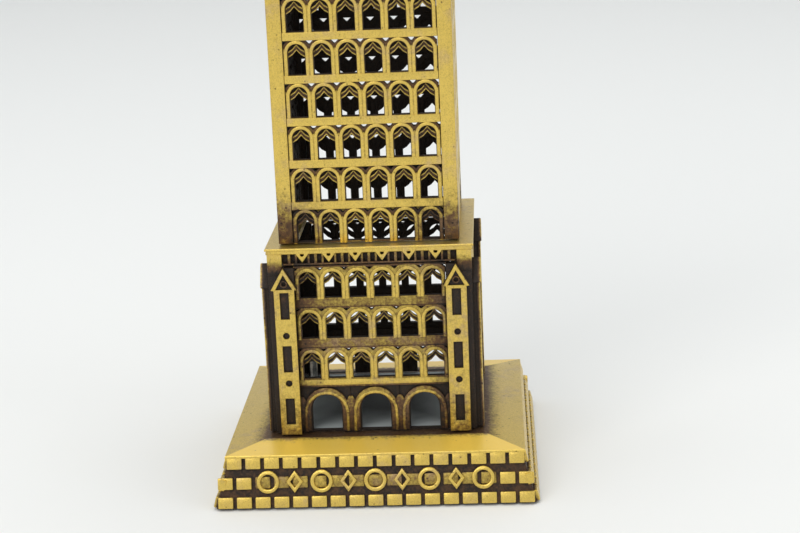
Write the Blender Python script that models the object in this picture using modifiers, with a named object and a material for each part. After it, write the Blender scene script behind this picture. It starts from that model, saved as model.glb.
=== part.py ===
"""Souvenir clock-tower figurine: a hollow tower of pierced castings on a brick-coursed base.

The tower stands on Z = 0 with its axis on +Z, and its front wall faces -Y.
Lengths are in metres; MM turns a size in millimetres into metres.
Every wall is drawn once as the front wall and copied round the axis by quarter turns.
"""

import math

import bmesh
import bpy
from mathutils import Matrix, Vector

MM = 0.001
SIDES = ("front", "right", "back", "left")
QUARTER_TURN = math.pi / 2

# Clearances
GAP = 0.3 * MM  # between two pieces that meet face to face, and round a tongue, peg or screw
OVERLAP = 0.3 * MM  # how deep a joined shape is sunk before a union
EDGE_STEP = 0.1 * MM  # keeps the edge of a joined shape off the edge of what it joins
TOUCH = 0.001 * MM

# Base: a hollow skirt with three raised brick courses under a hipped deck
DECK_BORDER = 7.5 * MM  # from the lower block's walls out to the rim
BASE_LEAN = 2.35 * MM  # how far each side leans in between its foot and the rim
BASE_RIM_Z = 8.3 * MM
DECK_RISE = 0.9 * MM
DECK_THICKNESS = 1.6 * MM
SKIRT_WALL = 2.0 * MM
FOOT_LIFT = 0.2 * MM  # the pad stands this much below the skirt
PAD_THICKNESS = 1.2 * MM
PAD_LEDGE = 1.2 * MM  # width of the step that the pad is stuck to
PAD_CORNER = 1.5 * MM
COURSES = 3
COURSE_PITCH = 3.1 * MM
BRICK_HEIGHT = 1.8 * MM
BRICK_RELIEF = 0.55 * MM

# Lower block
BLOCK_STEP = 1.85 * MM  # how far its walls stand out past the shaft's
FRIEZE_HEIGHT = 3.94 * MM  # from the highest window's crown to the wall's top
WALL_THICKNESS = 1.6 * MM
CORNICE_HEIGHT = 1.0 * MM
CORNICE_PROUD = 0.3 * MM
LEDGE_SHELF = 0.95 * MM  # how far the ledge reaches in past the shaft's walls
LEDGE_HEIGHT = 1.9 * MM
LEDGE_STEP = 0.2 * MM  # how far the shelf stays back under the plate
SHELF_INSET = 0.45 * MM  # keeps the shelf's ends off the plate's
GATE_COUNT = 3
GATE_PIER = 2.9 * MM  # wall between two gates
GATE_HEIGHT = 6.0 * MM
SILL_RAIL = 0.3 * MM

# Windows
WINDOW_COLUMNS = 6
CORNER_STRIP = 2.45 * MM  # plain wall between a shaft's corner and the first window's share
MULLION = 1.15 * MM  # wall between two windows
ROW_PITCH = 6.68 * MM
BLOCK_ROWS = 3
BLOCK_FIRST_CROWN = 13.3 * MM  # above the wall's foot
BLOCK_WINDOW_HEIGHT = 4.4 * MM
SHAFT_ROWS = 9
SHAFT_FIRST_CROWN = 4.9 * MM  # above the wall's foot, which cuts the lowest row a little short
SHAFT_WINDOW_HEIGHT = 4.87 * MM

# Buttresses on the lower block
BUTTRESS_WIDTH = 3.3 * MM
BUTTRESS_INSET = 2.6 * MM  # from the block's corner to its middle
BUTTRESS_PROUD = 1.2 * MM
GABLE_WIDTH = 3.9 * MM
GABLE_RISE = 3.6 * MM
GABLE_DROP = 1.9 * MM  # from the cornice down to its point
GABLE_PROUD = 0.2 * MM  # past the buttress under it
NICHE_COUNT = 3
NICHE_WIDTH = 1.4 * MM
NICHE_HEIGHT = 4.35 * MM
NICHE_FOOT = 1.825 * MM  # plain buttress under the lowest niche
NICHE_HEAD = 0.365 * MM  # and over the highest
NICHE_DEPTH = 0.5 * MM

# Screws from under the deck into the walls' lugs
LUG_WIDTH = 3.6 * MM
LUG_HEIGHT = 5.2 * MM
LUG_CORNER_GAP = 0.35 * MM  # between a lug and the next wall's inner face
SCREW_RADIUS = 0.8 * MM
SCREW_DEPTH = 4.0 * MM  # length inside the lug
SCREW_HEAD_RADIUS = 2.0 * MM
SCREW_HEAD_HEIGHT = 1.2 * MM
SCREW_SLOT_WIDTH = 0.6 * MM
SCREW_SLOT_DEPTH = 0.6 * MM

# Shaft
SHAFT_WIDTH = 28.6 * MM
SHAFT_TOP_RAIL = 1.5 * MM  # above the highest window's crown
TONGUE_WIDTH = 2.0 * MM
TONGUE_THICKNESS = 0.9 * MM
TONGUE_LENGTH = 1.2 * MM
TONGUE_INSET = 3.4 * MM  # from the wall's corner to the tongue's middle

# Clock stage
CORBEL_HEIGHT = 4.0 * MM
CORBEL_PLATE = 1.5 * MM
CORBEL_FOOT_PROUD = 0.8 * MM  # past the shaft's walls
CORBEL_LIP = 0.9 * MM  # how far the corbel's top stands out past the clock walls
CORBEL_SHELF = 1.0 * MM  # how far it reaches in past the shaft's walls
CLOCK_STEP = 1.7 * MM  # how far its walls stand out past the shaft's
CLOCK_WALL_THICKNESS = 2.0 * MM
CLOCK_OPENING_RADIUS = 8.0 * MM
CLOCK_MARGIN = 0.6 * MM  # wall above and below the dial's pocket
CLOCK_LIP_THICKNESS = 0.9 * MM
FRAME_STRIP_WIDTH = 2.4 * MM  # of the raised frame round a clock
FRAME_RAIL_WIDTH = 1.3 * MM
FRAME_PROUD = 0.35 * MM
DIAL_LAP = 1.0 * MM  # how far the dial reaches behind the lip
DIAL_THICKNESS = 0.8 * MM
HAND_THICKNESS = 0.4 * MM
HOUR_HAND_WIDTH = 0.9 * MM
HOUR_HAND_SHORT = 3.6 * MM  # how far its tip stays inside the opening
MINUTE_HAND_WIDTH = 0.6 * MM
MINUTE_HAND_SHORT = 1.0 * MM
HAND_HUB_RADIUS = 0.8 * MM
HUB_PROUD = 0.2 * MM  # past the hands
SHOWN_HOUR, SHOWN_MINUTE = 10, 10

# Gallery above the clocks, with a parapet and four pinnacles
GALLERY_DECK = 2.0 * MM
GALLERY_CHAMFER = GALLERY_DECK / 3
GALLERY_PROUD = 1.5 * MM
PARAPET_HEIGHT = 1.4 * MM
PARAPET_THICKNESS = 0.9 * MM
PINNACLE_WIDTH = 2.5 * MM
PINNACLE_HEIGHT = 11.0 * MM
PINNACLE_SHAFT_HEIGHT = 4.6 * MM
PINNACLE_NECK_WIDTH = 1.875 * MM  # where its point starts
PINNACLE_PEG_WIDTH = 1.2 * MM
PINNACLE_PEG_LENGTH = 1.0 * MM
GALLERY_RIM_HEIGHT = 0.9 * MM  # of the rim that stands inside the belfry's foot
GALLERY_RIM_THICKNESS = 0.9 * MM

# Belfry
BELFRY_CLEARANCE = 1.2 * MM  # between it and the pinnacles
BELFRY_WALL_THICKNESS = 1.3 * MM
BELFRY_ARCHES = 7
BELFRY_CORNER = 1.925 * MM  # plain wall between a corner and the first arch's share
BELFRY_PIER = 1.1 * MM  # wall between two arches
BELFRY_ARCH_HEIGHT = 5.2 * MM
BELFRY_SILL = 1.2 * MM
BELFRY_HEAD = 1.5 * MM  # wall above the arches

# Roofs, lantern and finial
EAVES_PROUD = 1.3 * MM
EAVES_HEIGHT = 1.0 * MM
ROOF_HEIGHT = 14.7 * MM
ROOF_TOP_MARGIN = 0.1 * MM  # round the lantern's floor
ROOF_SHELL = 1.1 * MM
ROOF_LIP_HEIGHT = 0.9 * MM
ROOF_LIP_THICKNESS = 1.0 * MM
LANTERN_WIDTH = 10.6 * MM
LANTERN_WALL = 0.9 * MM
LANTERN_FLOOR = 0.9 * MM
LANTERN_FLOOR_PROUD = 0.8 * MM
LANTERN_PEG_WIDTH = 3.0 * MM
LANTERN_PEG_LENGTH = 0.9 * MM
LANTERN_ARCHES = 4
LANTERN_CORNER = 0.6 * MM
LANTERN_PIER = 0.85 * MM
LANTERN_ARCH_HEIGHT = 2.9 * MM
LANTERN_SILL = 0.8 * MM
LANTERN_HEAD = 0.7 * MM
SPIRE_HEIGHT = 16.7 * MM
SPIRE_EAVES_PROUD = 1.4 * MM
SPIRE_TOP_WIDTH = 2.4 * MM
SPIRE_PLUG = 0.6 * MM
FINIAL_HEIGHT = 7.0 * MM
FINIAL_BALL_RADIUS = 1.25 * MM
FINIAL_NECK_RADIUS = 0.4 * MM
FINIAL_STUD_RADIUS = 0.45 * MM
FINIAL_STUD_LENGTH = 3.6 * MM

# Facets
WINDOW_FACETS = 3
GATE_FACETS = 6
ROUND_FACETS = 12
CORNER_FACETS = 3
DIAL_FACETS = 24
BALL_FACETS = 6
SMOOTH_ANGLE = math.radians(40)

# Sizes worked out from those above
BLOCK_WIDTH = SHAFT_WIDTH + 2 * BLOCK_STEP
BASE_RIM_WIDTH = BLOCK_WIDTH + 2 * DECK_BORDER
BASE_WIDTH = BASE_RIM_WIDTH + 2 * BASE_LEAN
WINDOW_PITCH = (SHAFT_WIDTH - 2 * CORNER_STRIP) / WINDOW_COLUMNS
WINDOW_WIDTH = WINDOW_PITCH - MULLION
GATE_PITCH = WINDOW_PITCH * WINDOW_COLUMNS / GATE_COUNT
GATE_WIDTH = GATE_PITCH - GATE_PIER
BLOCK_HEIGHT = BLOCK_FIRST_CROWN + (BLOCK_ROWS - 1) * ROW_PITCH + FRIEZE_HEIGHT
LEDGE_DEPTH = BLOCK_STEP + LEDGE_SHELF  # how far the ledge reaches in behind the block's wall
BUTTRESS_CENTRE_X = BLOCK_WIDTH / 2 - BUTTRESS_INSET
BUTTRESS_HEIGHT = BLOCK_HEIGHT - CORNICE_HEIGHT - GABLE_DROP - GABLE_RISE
NICHE_PITCH = (BUTTRESS_HEIGHT - NICHE_FOOT - NICHE_HEAD - NICHE_HEIGHT) / (NICHE_COUNT - 1)
CLOCK_WIDTH = SHAFT_WIDTH + 2 * CLOCK_STEP
CLOCK_WALL_HEIGHT = 2 * (CLOCK_OPENING_RADIUS + DIAL_LAP + GAP + CLOCK_MARGIN)
GALLERY_WIDTH = CLOCK_WIDTH + 2 * GALLERY_PROUD
BELFRY_WIDTH = GALLERY_WIDTH - 2 * (PARAPET_THICKNESS + GAP + PINNACLE_WIDTH + BELFRY_CLEARANCE)
BELFRY_HEIGHT = BELFRY_SILL + BELFRY_ARCH_HEIGHT + BELFRY_HEAD
BELFRY_ARCH_PITCH = (BELFRY_WIDTH - 2 * BELFRY_CORNER) / BELFRY_ARCHES
BELFRY_ARCH_WIDTH = BELFRY_ARCH_PITCH - BELFRY_PIER
LANTERN_HEIGHT = LANTERN_FLOOR + LANTERN_SILL + LANTERN_ARCH_HEIGHT + LANTERN_HEAD
LANTERN_ARCH_PITCH = (LANTERN_WIDTH - 2 * LANTERN_CORNER) / LANTERN_ARCHES
LANTERN_ARCH_WIDTH = LANTERN_ARCH_PITCH - LANTERN_PIER
ROOF_TOP_WIDTH = LANTERN_WIDTH + 2 * (LANTERN_FLOOR_PROUD + ROOF_TOP_MARGIN)

# Levels worked out from the sizes above
DECK_Z = BASE_RIM_Z + DECK_RISE
DECK_UNDER_Z = DECK_Z - DECK_THICKNESS
BLOCK_FOOT_Z = DECK_Z + GAP
BLOCK_TOP_Z = BLOCK_FOOT_Z + BLOCK_HEIGHT
SHAFT_FOOT_Z = BLOCK_TOP_Z + GAP
SHAFT_TOP_Z = SHAFT_FOOT_Z + SHAFT_FIRST_CROWN + (SHAFT_ROWS - 1) * ROW_PITCH + SHAFT_TOP_RAIL
CORBEL_FOOT_Z = SHAFT_TOP_Z + GAP
CORBEL_TOP_Z = CORBEL_FOOT_Z + CORBEL_HEIGHT
CLOCK_FOOT_Z = CORBEL_TOP_Z + GAP
CLOCK_TOP_Z = CLOCK_FOOT_Z + CLOCK_WALL_HEIGHT
CLOCK_CENTRE_Z = CLOCK_FOOT_Z + CLOCK_WALL_HEIGHT / 2
GALLERY_FOOT_Z = CLOCK_TOP_Z + GAP
GALLERY_DECK_Z = GALLERY_FOOT_Z + GALLERY_DECK
BELFRY_FOOT_Z = GALLERY_DECK_Z + GAP
BELFRY_TOP_Z = BELFRY_FOOT_Z + BELFRY_HEIGHT
ROOF_FOOT_Z = BELFRY_TOP_Z + GAP
ROOF_TOP_Z = ROOF_FOOT_Z + ROOF_HEIGHT
LANTERN_FOOT_Z = ROOF_TOP_Z + GAP
LANTERN_TOP_Z = LANTERN_FOOT_Z + LANTERN_HEIGHT
SPIRE_FOOT_Z = LANTERN_TOP_Z + GAP
SPIRE_TOP_Z = SPIRE_FOOT_Z + SPIRE_HEIGHT
FINIAL_FOOT_Z = SPIRE_TOP_Z + GAP


# ---------------------------------------------------------------- Blender helpers


def clear_scene():
    """Empties the file of objects and of the collections that held them."""
    for obj in list(bpy.data.objects):
        bpy.data.objects.remove(obj, do_unlink=True)
    for collection in list(bpy.data.collections):
        bpy.data.collections.remove(collection)


def new_collection(name):
    collection = bpy.data.collections.new(name)
    bpy.context.scene.collection.children.link(collection)
    return collection


def new_material(name, color, roughness, metallic):
    material = bpy.data.materials.new(name)
    material.use_nodes = True
    shader = material.node_tree.nodes["Principled BSDF"]
    shader.inputs["Base Color"].default_value = (*color, 1.0)
    shader.inputs["Roughness"].default_value = roughness
    shader.inputs["Metallic"].default_value = metallic
    material.diffuse_color = (*color, 1.0)
    return material


def as_helper(obj):
    """Keeps an object out of the finished model."""
    CUTTERS.objects.link(obj)
    obj.hide_render = True
    obj.display_type = "WIRE"
    return obj


def baked_mesh(obj):
    """The object's mesh with its modifiers and its placing applied; the object is removed."""
    bpy.context.view_layer.update()
    evaluated = obj.evaluated_get(bpy.context.evaluated_depsgraph_get())
    mesh = bpy.data.meshes.new_from_object(evaluated)
    mesh.transform(obj.matrix_world)
    bpy.data.objects.remove(obj, do_unlink=True)
    return mesh


def add_boolean(obj, operation, other):
    modifier = obj.modifiers.new(f"{operation.lower()} {other.name}", "BOOLEAN")
    modifier.operation = operation
    modifier.solver = "EXACT"
    modifier.object = other


def join_and_cut(mesh, joined=(), cut=()):
    """The mesh with every mesh of joined added to it and every mesh of cut taken away."""
    body = as_helper(bpy.data.objects.new("body", mesh))
    helpers = []
    for operation, others in (("UNION", joined), ("DIFFERENCE", cut)):
        for other in others:
            helper = as_helper(bpy.data.objects.new("helper", other))
            helpers.append(helper)
            add_boolean(body, operation, helper)
    result = baked_mesh(body)
    for helper in helpers:
        bpy.data.objects.remove(helper, do_unlink=True)
    return result


def place(name, mesh, material, turn=0.0, location=(0.0, 0.0, 0.0), smooth=False):
    """Puts a finished mesh into the model as one named piece."""
    if smooth:
        mesh.shade_smooth()
        mesh.set_sharp_from_angle(angle=SMOOTH_ANGLE)
    obj = bpy.data.objects.new(name, mesh)
    TOWER.objects.link(obj)
    mesh.materials.clear()
    mesh.materials.append(material)
    obj.rotation_euler.z = turn
    obj.location = location
    return obj


def place_on_four_sides(stem, mesh, material):
    for step, side in enumerate(SIDES):
        place(f"{stem}_{side}", mesh, material, turn=step * QUARTER_TURN)


# ---------------------------------------------------------------- shapes


def extruded(loops, thickness):
    """A plate in the XY plane, centred on Z = 0. The first loop is its outline, the others are holes."""
    curve = bpy.data.curves.new("outline", "CURVE")
    curve.dimensions = "2D"
    curve.fill_mode = "BOTH"
    curve.extrude = thickness / 2
    for loop in loops:
        spline = curve.splines.new("POLY")
        spline.points.add(len(loop) - 1)
        for point, (x, y) in zip(spline.points, loop):
            point.co = (x, y, 0.0, 1.0)
        spline.use_cyclic_u = True
    mesh = baked_mesh(as_helper(bpy.data.objects.new("outline", curve)))
    bm = bmesh.new()
    bm.from_mesh(mesh)
    bmesh.ops.remove_doubles(bm, verts=bm.verts, dist=TOUCH)
    bmesh.ops.recalc_face_normals(bm, faces=bm.faces)
    bm.to_mesh(mesh)
    bm.free()
    return mesh


def upright(loops, thickness, outer_y):
    """A plate that stands facing -Y with its outer face at outer_y. Loops hold X and Z."""
    mesh = extruded(loops, thickness)
    for vertex in mesh.vertices:
        x, z, lift = vertex.co
        vertex.co = (x, outer_y if lift > 0 else outer_y + thickness, z)
    return mesh


def flat(loops, low_z, high_z):
    """A plate that lies level between two heights. Loops hold X and Y."""
    mesh = extruded(loops, high_z - low_z)
    mesh.transform(Matrix.Translation((0.0, 0.0, (low_z + high_z) / 2)))
    return mesh


def block(low, high):
    """A box between two corners."""
    bm = bmesh.new()
    bmesh.ops.create_cube(bm, size=1.0)
    for vertex in bm.verts:
        vertex.co = [low[i] + (vertex.co[i] + 0.5) * (high[i] - low[i]) for i in range(3)]
    mesh = bpy.data.meshes.new("block")
    bm.to_mesh(mesh)
    bm.free()
    return mesh


def rod(radius, low_z, high_z, x=0.0, y=0.0, facets=ROUND_FACETS):
    """A round bar along Z."""
    bm = bmesh.new()
    bmesh.ops.create_cone(
        bm, cap_ends=True, segments=facets, radius1=radius, radius2=radius, depth=high_z - low_z
    )
    bmesh.ops.translate(bm, verts=bm.verts, vec=(x, y, (low_z + high_z) / 2))
    mesh = bpy.data.meshes.new("rod")
    bm.to_mesh(mesh)
    bm.free()
    return mesh


def turned(profile, steps=ROUND_FACETS, turn=0.0, closed=False):
    """A profile of (radius, Z) points turned round the Z axis. It runs down the outer side."""
    mesh = bpy.data.meshes.new("profile")
    count = len(profile)
    edges = [(i, i + 1) for i in range(count - 1)]
    if closed:
        edges.append((count - 1, 0))
    mesh.from_pydata([(radius, 0.0, z) for radius, z in profile], edges, [])
    obj = as_helper(bpy.data.objects.new("profile", mesh))
    obj.rotation_euler.z = turn
    screw = obj.modifiers.new("turn", "SCREW")
    screw.axis = "Z"
    screw.steps = screw.render_steps = steps
    screw.use_merge_vertices = True
    screw.merge_threshold = TOUCH
    screw.use_smooth_shade = False
    return baked_mesh(obj)


def square_turned(profile, closed=False):
    """The same with four flat sides: a profile point's first value is half the width there."""
    corner = [(half * math.sqrt(2), z) for half, z in profile]
    return turned(corner, steps=4, turn=math.pi / 4, closed=closed)


def rectangle(low_x, low_y, high_x, high_y):
    return [(low_x, low_y), (high_x, low_y), (high_x, high_y), (low_x, high_y)]


def square(half):
    return rectangle(-half, -half, half, half)


def rounded_square(half, radius):
    """A square outline whose corners are arcs."""
    centre = half - radius
    loop = []
    corners = ((centre, centre), (-centre, centre), (-centre, -centre), (centre, -centre))
    for step, (x, y) in enumerate(corners):
        for i in range(CORNER_FACETS + 1):
            angle = QUARTER_TURN * (step + i / CORNER_FACETS)
            loop.append((x + radius * math.cos(angle), y + radius * math.sin(angle)))
    return loop


def circle(radius, facets, x=0.0, y=0.0):
    angles = [2 * math.pi * (i + 0.5) / facets for i in range(facets)]
    return [(x + radius * math.cos(a), y + radius * math.sin(a)) for a in angles]


def arch(x, sill_z, width, height, facets):
    """The outline of an opening with a round head."""
    radius = width / 2
    spring_z = sill_z + height - radius
    head = [
        (x + radius * math.cos(math.pi * i / facets), spring_z + radius * math.sin(math.pi * i / facets))
        for i in range(facets + 1)
    ]
    return [(x - radius, sill_z), (x + radius, sill_z), *head]


def spread(count, pitch):
    """The places of count things, pitch apart and centred on 0."""
    return [(i - (count - 1) / 2) * pitch for i in range(count)]


def arch_row(count, pitch, sill_z, width, height, facets):
    return [arch(x, sill_z, width, height, facets) for x in spread(count, pitch)]


def window_grid(rows, foot_z, first_crown, height):
    """Rows of windows in a wall that stands on foot_z. None reaches into the rail along its foot."""
    loops = []
    for row in range(rows):
        crown_z = foot_z + first_crown + row * ROW_PITCH
        sill_z = max(crown_z - height, foot_z + SILL_RAIL)
        rise = crown_z - sill_z
        loops += arch_row(WINDOW_COLUMNS, WINDOW_PITCH, sill_z, WINDOW_WIDTH, rise, WINDOW_FACETS)
    return loops


def mitred_wall(width, thickness, low_z, high_z, holes=(), inset=GAP / 2):
    """A wall plate whose ends are cut at 45 degrees, to meet the walls on its left and right."""
    half = width / 2 - inset
    outer_y = -width / 2
    mesh = upright([rectangle(-half, low_z, half, high_z), *holes], thickness, outer_y)
    bm = bmesh.new()
    bm.from_mesh(mesh)
    for side in (-1, 1):
        everything = [*bm.verts, *bm.edges, *bm.faces]
        corner = (side * half, outer_y, 0.0)
        bmesh.ops.bisect_plane(
            bm, geom=everything, dist=TOUCH, plane_co=corner, plane_no=(side, 1, 0), clear_outer=True
        )
        bmesh.ops.holes_fill(bm, edges=[edge for edge in bm.edges if edge.is_boundary], sides=0)
    bm.to_mesh(mesh)
    bm.free()
    return mesh


def tongue(wall_width, wall_thickness, side, root_z, tip_z, play=0.0):
    """A locating tongue on a wall's edge or, with play, the slot for it. Side is -1 or 1."""
    x = side * (wall_width / 2 - TONGUE_INSET)
    y = -wall_width / 2 + wall_thickness / 2
    low_z, high_z = sorted((root_z, tip_z))
    half_x = TONGUE_WIDTH / 2 + play
    half_y = TONGUE_THICKNESS / 2 + play
    return block((x - half_x, y - half_y, low_z), (x + half_x, y + half_y, high_z))


def tongues(wall_width, wall_thickness, edge_z, direction):
    """Both tongues of a wall's lower (direction -1) or upper (1) edge."""
    root_z = edge_z - direction * OVERLAP / 2
    tip_z = edge_z + direction * TONGUE_LENGTH
    return [tongue(wall_width, wall_thickness, side, root_z, tip_z) for side in (-1, 1)]


def slots_for_tongues(wall_width, wall_thickness, face_z, direction):
    """Cutters for the front wall's tongues, into a face at face_z; direction is where they point."""
    start_z = face_z - direction * OVERLAP
    end_z = face_z + direction * (TONGUE_LENGTH + GAP)
    return [tongue(wall_width, wall_thickness, side, start_z, end_z, GAP) for side in (-1, 1)]


def four_turns(mesh):
    """The mesh and its copies on the three other sides."""
    copies = []
    for step in range(len(SIDES)):
        turned_copy = mesh.copy()
        turned_copy.transform(Matrix.Rotation(step * QUARTER_TURN, 4, "Z"))
        copies.append(turned_copy)
    return copies


def slots_all_round(wall_width, wall_thickness, face_z, direction):
    return four_turns(merged(slots_for_tongues(wall_width, wall_thickness, face_z, direction)))


def merged(meshes):
    """Several meshes that don't touch, as one mesh."""
    bm = bmesh.new()
    for mesh in meshes:
        bm.from_mesh(mesh)
    result = bpy.data.meshes.new("merged")
    bm.to_mesh(result)
    bm.free()
    return result


# ---------------------------------------------------------------- base


def skirt_half_width(z):
    """Half the base's width over the brick courses, at height z."""
    return (BASE_WIDTH + (BASE_RIM_WIDTH - BASE_WIDTH) * z / BASE_RIM_Z) / 2


def course_z(course):
    """The lower and upper edge of a brick course, counted from the bottom."""
    low_z = course * COURSE_PITCH
    return max(low_z, FOOT_LIFT), low_z + BRICK_HEIGHT


def skirt_profile():
    """From the deck's middle, down over the bricks, and back up inside the hollow."""
    block_half = BLOCK_WIDTH / 2 + BUTTRESS_PROUD + OVERLAP
    points = [(0.0, DECK_Z), (block_half, DECK_Z), (skirt_half_width(BASE_RIM_Z), BASE_RIM_Z)]
    for course in reversed(range(COURSES)):
        low_z, high_z = course_z(course)
        if course < COURSES - 1:
            points += [(skirt_half_width(high_z) - BRICK_RELIEF, high_z), (skirt_half_width(high_z), high_z)]
        points.append((skirt_half_width(low_z), low_z))
        if course > 0:
            points.append((skirt_half_width(low_z) - BRICK_RELIEF, low_z))
    step_z = PAD_THICKNESS + GAP
    step_half = skirt_half_width(step_z) - SKIRT_WALL
    rim_half = step_half + PAD_LEDGE
    top_half = skirt_half_width(DECK_UNDER_Z) - SKIRT_WALL
    points += [(rim_half, FOOT_LIFT), (rim_half, step_z), (step_half, step_z)]
    points += [(top_half, DECK_UNDER_Z), (0.0, DECK_UNDER_Z)]
    return points, rim_half


def screw_places():
    """X and Y of the screws: the middle of each wall's lug."""
    inner = BLOCK_WIDTH / 2 - WALL_THICKNESS
    front = Vector((LUG_CORNER_GAP + LUG_WIDTH / 2 - inner, LUG_WIDTH / 2 - inner))
    return [Matrix.Rotation(step * QUARTER_TURN, 2) @ front for step in range(len(SIDES))]


def build_base():
    profile, pad_room = skirt_profile()
    holes = [rod(SCREW_RADIUS + GAP, DECK_UNDER_Z - OVERLAP, DECK_Z + OVERLAP, *at) for at in screw_places()]
    skirt = join_and_cut(square_turned(profile), cut=[merged(holes)])
    place("base_skirt", skirt, CASTING)
    reach = pad_room - GAP
    pad_outline = rounded_square(reach, PAD_CORNER)
    place("foot_pad", flat([pad_outline], 0.0, PAD_THICKNESS), FELT)


def build_screws():
    """Slotted screws that hold the lower block's walls down on the deck."""
    head_top_z = DECK_UNDER_Z - GAP
    head_low_z = head_top_z - SCREW_HEAD_HEIGHT
    tip_z = BLOCK_FOOT_Z + SCREW_DEPTH
    profile = [
        (0.0, tip_z),
        (SCREW_RADIUS, tip_z - SCREW_RADIUS),
        (SCREW_RADIUS, head_top_z),
        (SCREW_HEAD_RADIUS, head_top_z),
        (SCREW_HEAD_RADIUS, head_low_z),
        (0.0, head_low_z),
    ]
    reach, half = SCREW_HEAD_RADIUS + OVERLAP, SCREW_SLOT_WIDTH / 2
    slot = block((-reach, -half, head_low_z - OVERLAP), (reach, half, head_low_z + SCREW_SLOT_DEPTH))
    screw = join_and_cut(turned(profile), cut=[slot])
    for number, (x, y) in enumerate(screw_places(), start=1):
        place(f"base_screw_{number}", screw, STEEL, location=(x, y, 0.0), smooth=True)


# ---------------------------------------------------------------- lower block


def buttress_shafts():
    """The upright bodies of the front wall's two buttresses."""
    outer_y, inner_y = -BLOCK_WIDTH / 2 - BUTTRESS_PROUD, -BLOCK_WIDTH / 2 + OVERLAP
    low_z, high_z = BLOCK_FOOT_Z + EDGE_STEP, BLOCK_FOOT_Z + BUTTRESS_HEIGHT + OVERLAP
    shafts = []
    for side in (-1, 1):
        x = side * BUTTRESS_CENTRE_X
        low = (x - BUTTRESS_WIDTH / 2, outer_y, low_z)
        shafts.append(block(low, (x + BUTTRESS_WIDTH / 2, inner_y, high_z)))
    return merged(shafts)


def buttress_gables():
    """The pointed heads of both buttresses, a little wider and prouder than their shafts."""
    outer_y = -BLOCK_WIDTH / 2 - BUTTRESS_PROUD - GABLE_PROUD
    eaves_z = BLOCK_FOOT_Z + BUTTRESS_HEIGHT
    half = GABLE_WIDTH / 2
    outlines = []
    for side in (-1, 1):
        x = side * BUTTRESS_CENTRE_X
        outlines.append([(x - half, eaves_z), (x + half, eaves_z), (x, eaves_z + GABLE_RISE)])
    return upright(outlines, GABLE_PROUD + BUTTRESS_PROUD + 2 * OVERLAP, outer_y)


def niches():
    """Cutters for the sunk panels in the faces of both buttresses."""
    outer_y = -BLOCK_WIDTH / 2 - BUTTRESS_PROUD
    panels = []
    for side in (-1, 1):
        x = side * BUTTRESS_CENTRE_X
        for i in range(NICHE_COUNT):
            z = BLOCK_FOOT_Z + NICHE_FOOT + i * NICHE_PITCH
            low = (x - NICHE_WIDTH / 2, outer_y - OVERLAP, z)
            high = (x + NICHE_WIDTH / 2, outer_y + NICHE_DEPTH, z + NICHE_HEIGHT)
            panels.append(block(low, high))
    return merged(panels)


def ledge():
    """The cornice plate on the wall's top and, under its inner part, the shelf that carries the shaft."""
    plate_low_z = BLOCK_TOP_Z - CORNICE_HEIGHT
    plate_width = BLOCK_WIDTH + 2 * CORNICE_PROUD
    plate_depth = CORNICE_PROUD + WALL_THICKNESS + LEDGE_DEPTH
    plate = mitred_wall(plate_width, plate_depth, plate_low_z, BLOCK_TOP_Z, inset=GAP)
    shelf_width = BLOCK_WIDTH - WALL_THICKNESS
    shelf_depth = WALL_THICKNESS / 2 + LEDGE_DEPTH - LEDGE_STEP
    shelf_top_z = plate_low_z + OVERLAP
    shelf = mitred_wall(shelf_width, shelf_depth, BLOCK_TOP_Z - LEDGE_HEIGHT, shelf_top_z, inset=SHELF_INSET)
    return [plate, shelf]


def build_lower_block():
    holes = window_grid(BLOCK_ROWS, BLOCK_FOOT_Z, BLOCK_FIRST_CROWN, BLOCK_WINDOW_HEIGHT)
    gate_sill_z = BLOCK_FOOT_Z + SILL_RAIL
    holes += arch_row(GATE_COUNT, GATE_PITCH, gate_sill_z, GATE_WIDTH, GATE_HEIGHT, GATE_FACETS)
    wall_top_z = BLOCK_TOP_Z - CORNICE_HEIGHT + OVERLAP
    wall = mitred_wall(BLOCK_WIDTH, WALL_THICKNESS, BLOCK_FOOT_Z, wall_top_z, holes)
    inner_y = -BLOCK_WIDTH / 2 + WALL_THICKNESS
    screw_x, screw_y = screw_places()[0]
    lug = block(
        (screw_x - LUG_WIDTH / 2, inner_y - OVERLAP, BLOCK_FOOT_Z + EDGE_STEP),
        (screw_x + LUG_WIDTH / 2, inner_y + LUG_WIDTH, BLOCK_FOOT_Z + LUG_HEIGHT),
    )
    hole_top_z = BLOCK_FOOT_Z + SCREW_DEPTH + GAP
    screw_hole = rod(SCREW_RADIUS + GAP, BLOCK_FOOT_Z - OVERLAP, hole_top_z, screw_x, screw_y)
    slots = merged(slots_for_tongues(SHAFT_WIDTH, WALL_THICKNESS, BLOCK_TOP_Z, -1))
    joined = [buttress_shafts(), buttress_gables(), *ledge(), lug]
    wall = join_and_cut(wall, joined=joined, cut=[niches(), screw_hole, slots])
    place_on_four_sides("block_wall", wall, CASTING)


# ---------------------------------------------------------------- shaft


def build_shaft():
    holes = window_grid(SHAFT_ROWS, SHAFT_FOOT_Z, SHAFT_FIRST_CROWN, SHAFT_WINDOW_HEIGHT)
    wall = mitred_wall(SHAFT_WIDTH, WALL_THICKNESS, SHAFT_FOOT_Z, SHAFT_TOP_Z, holes)
    lower = tongues(SHAFT_WIDTH, WALL_THICKNESS, SHAFT_FOOT_Z, -1)
    upper = tongues(SHAFT_WIDTH, WALL_THICKNESS, SHAFT_TOP_Z, 1)
    wall = join_and_cut(wall, joined=[merged(lower + upper)])
    place_on_four_sides("shaft_wall", wall, CASTING)


# ---------------------------------------------------------------- clock stage


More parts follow.
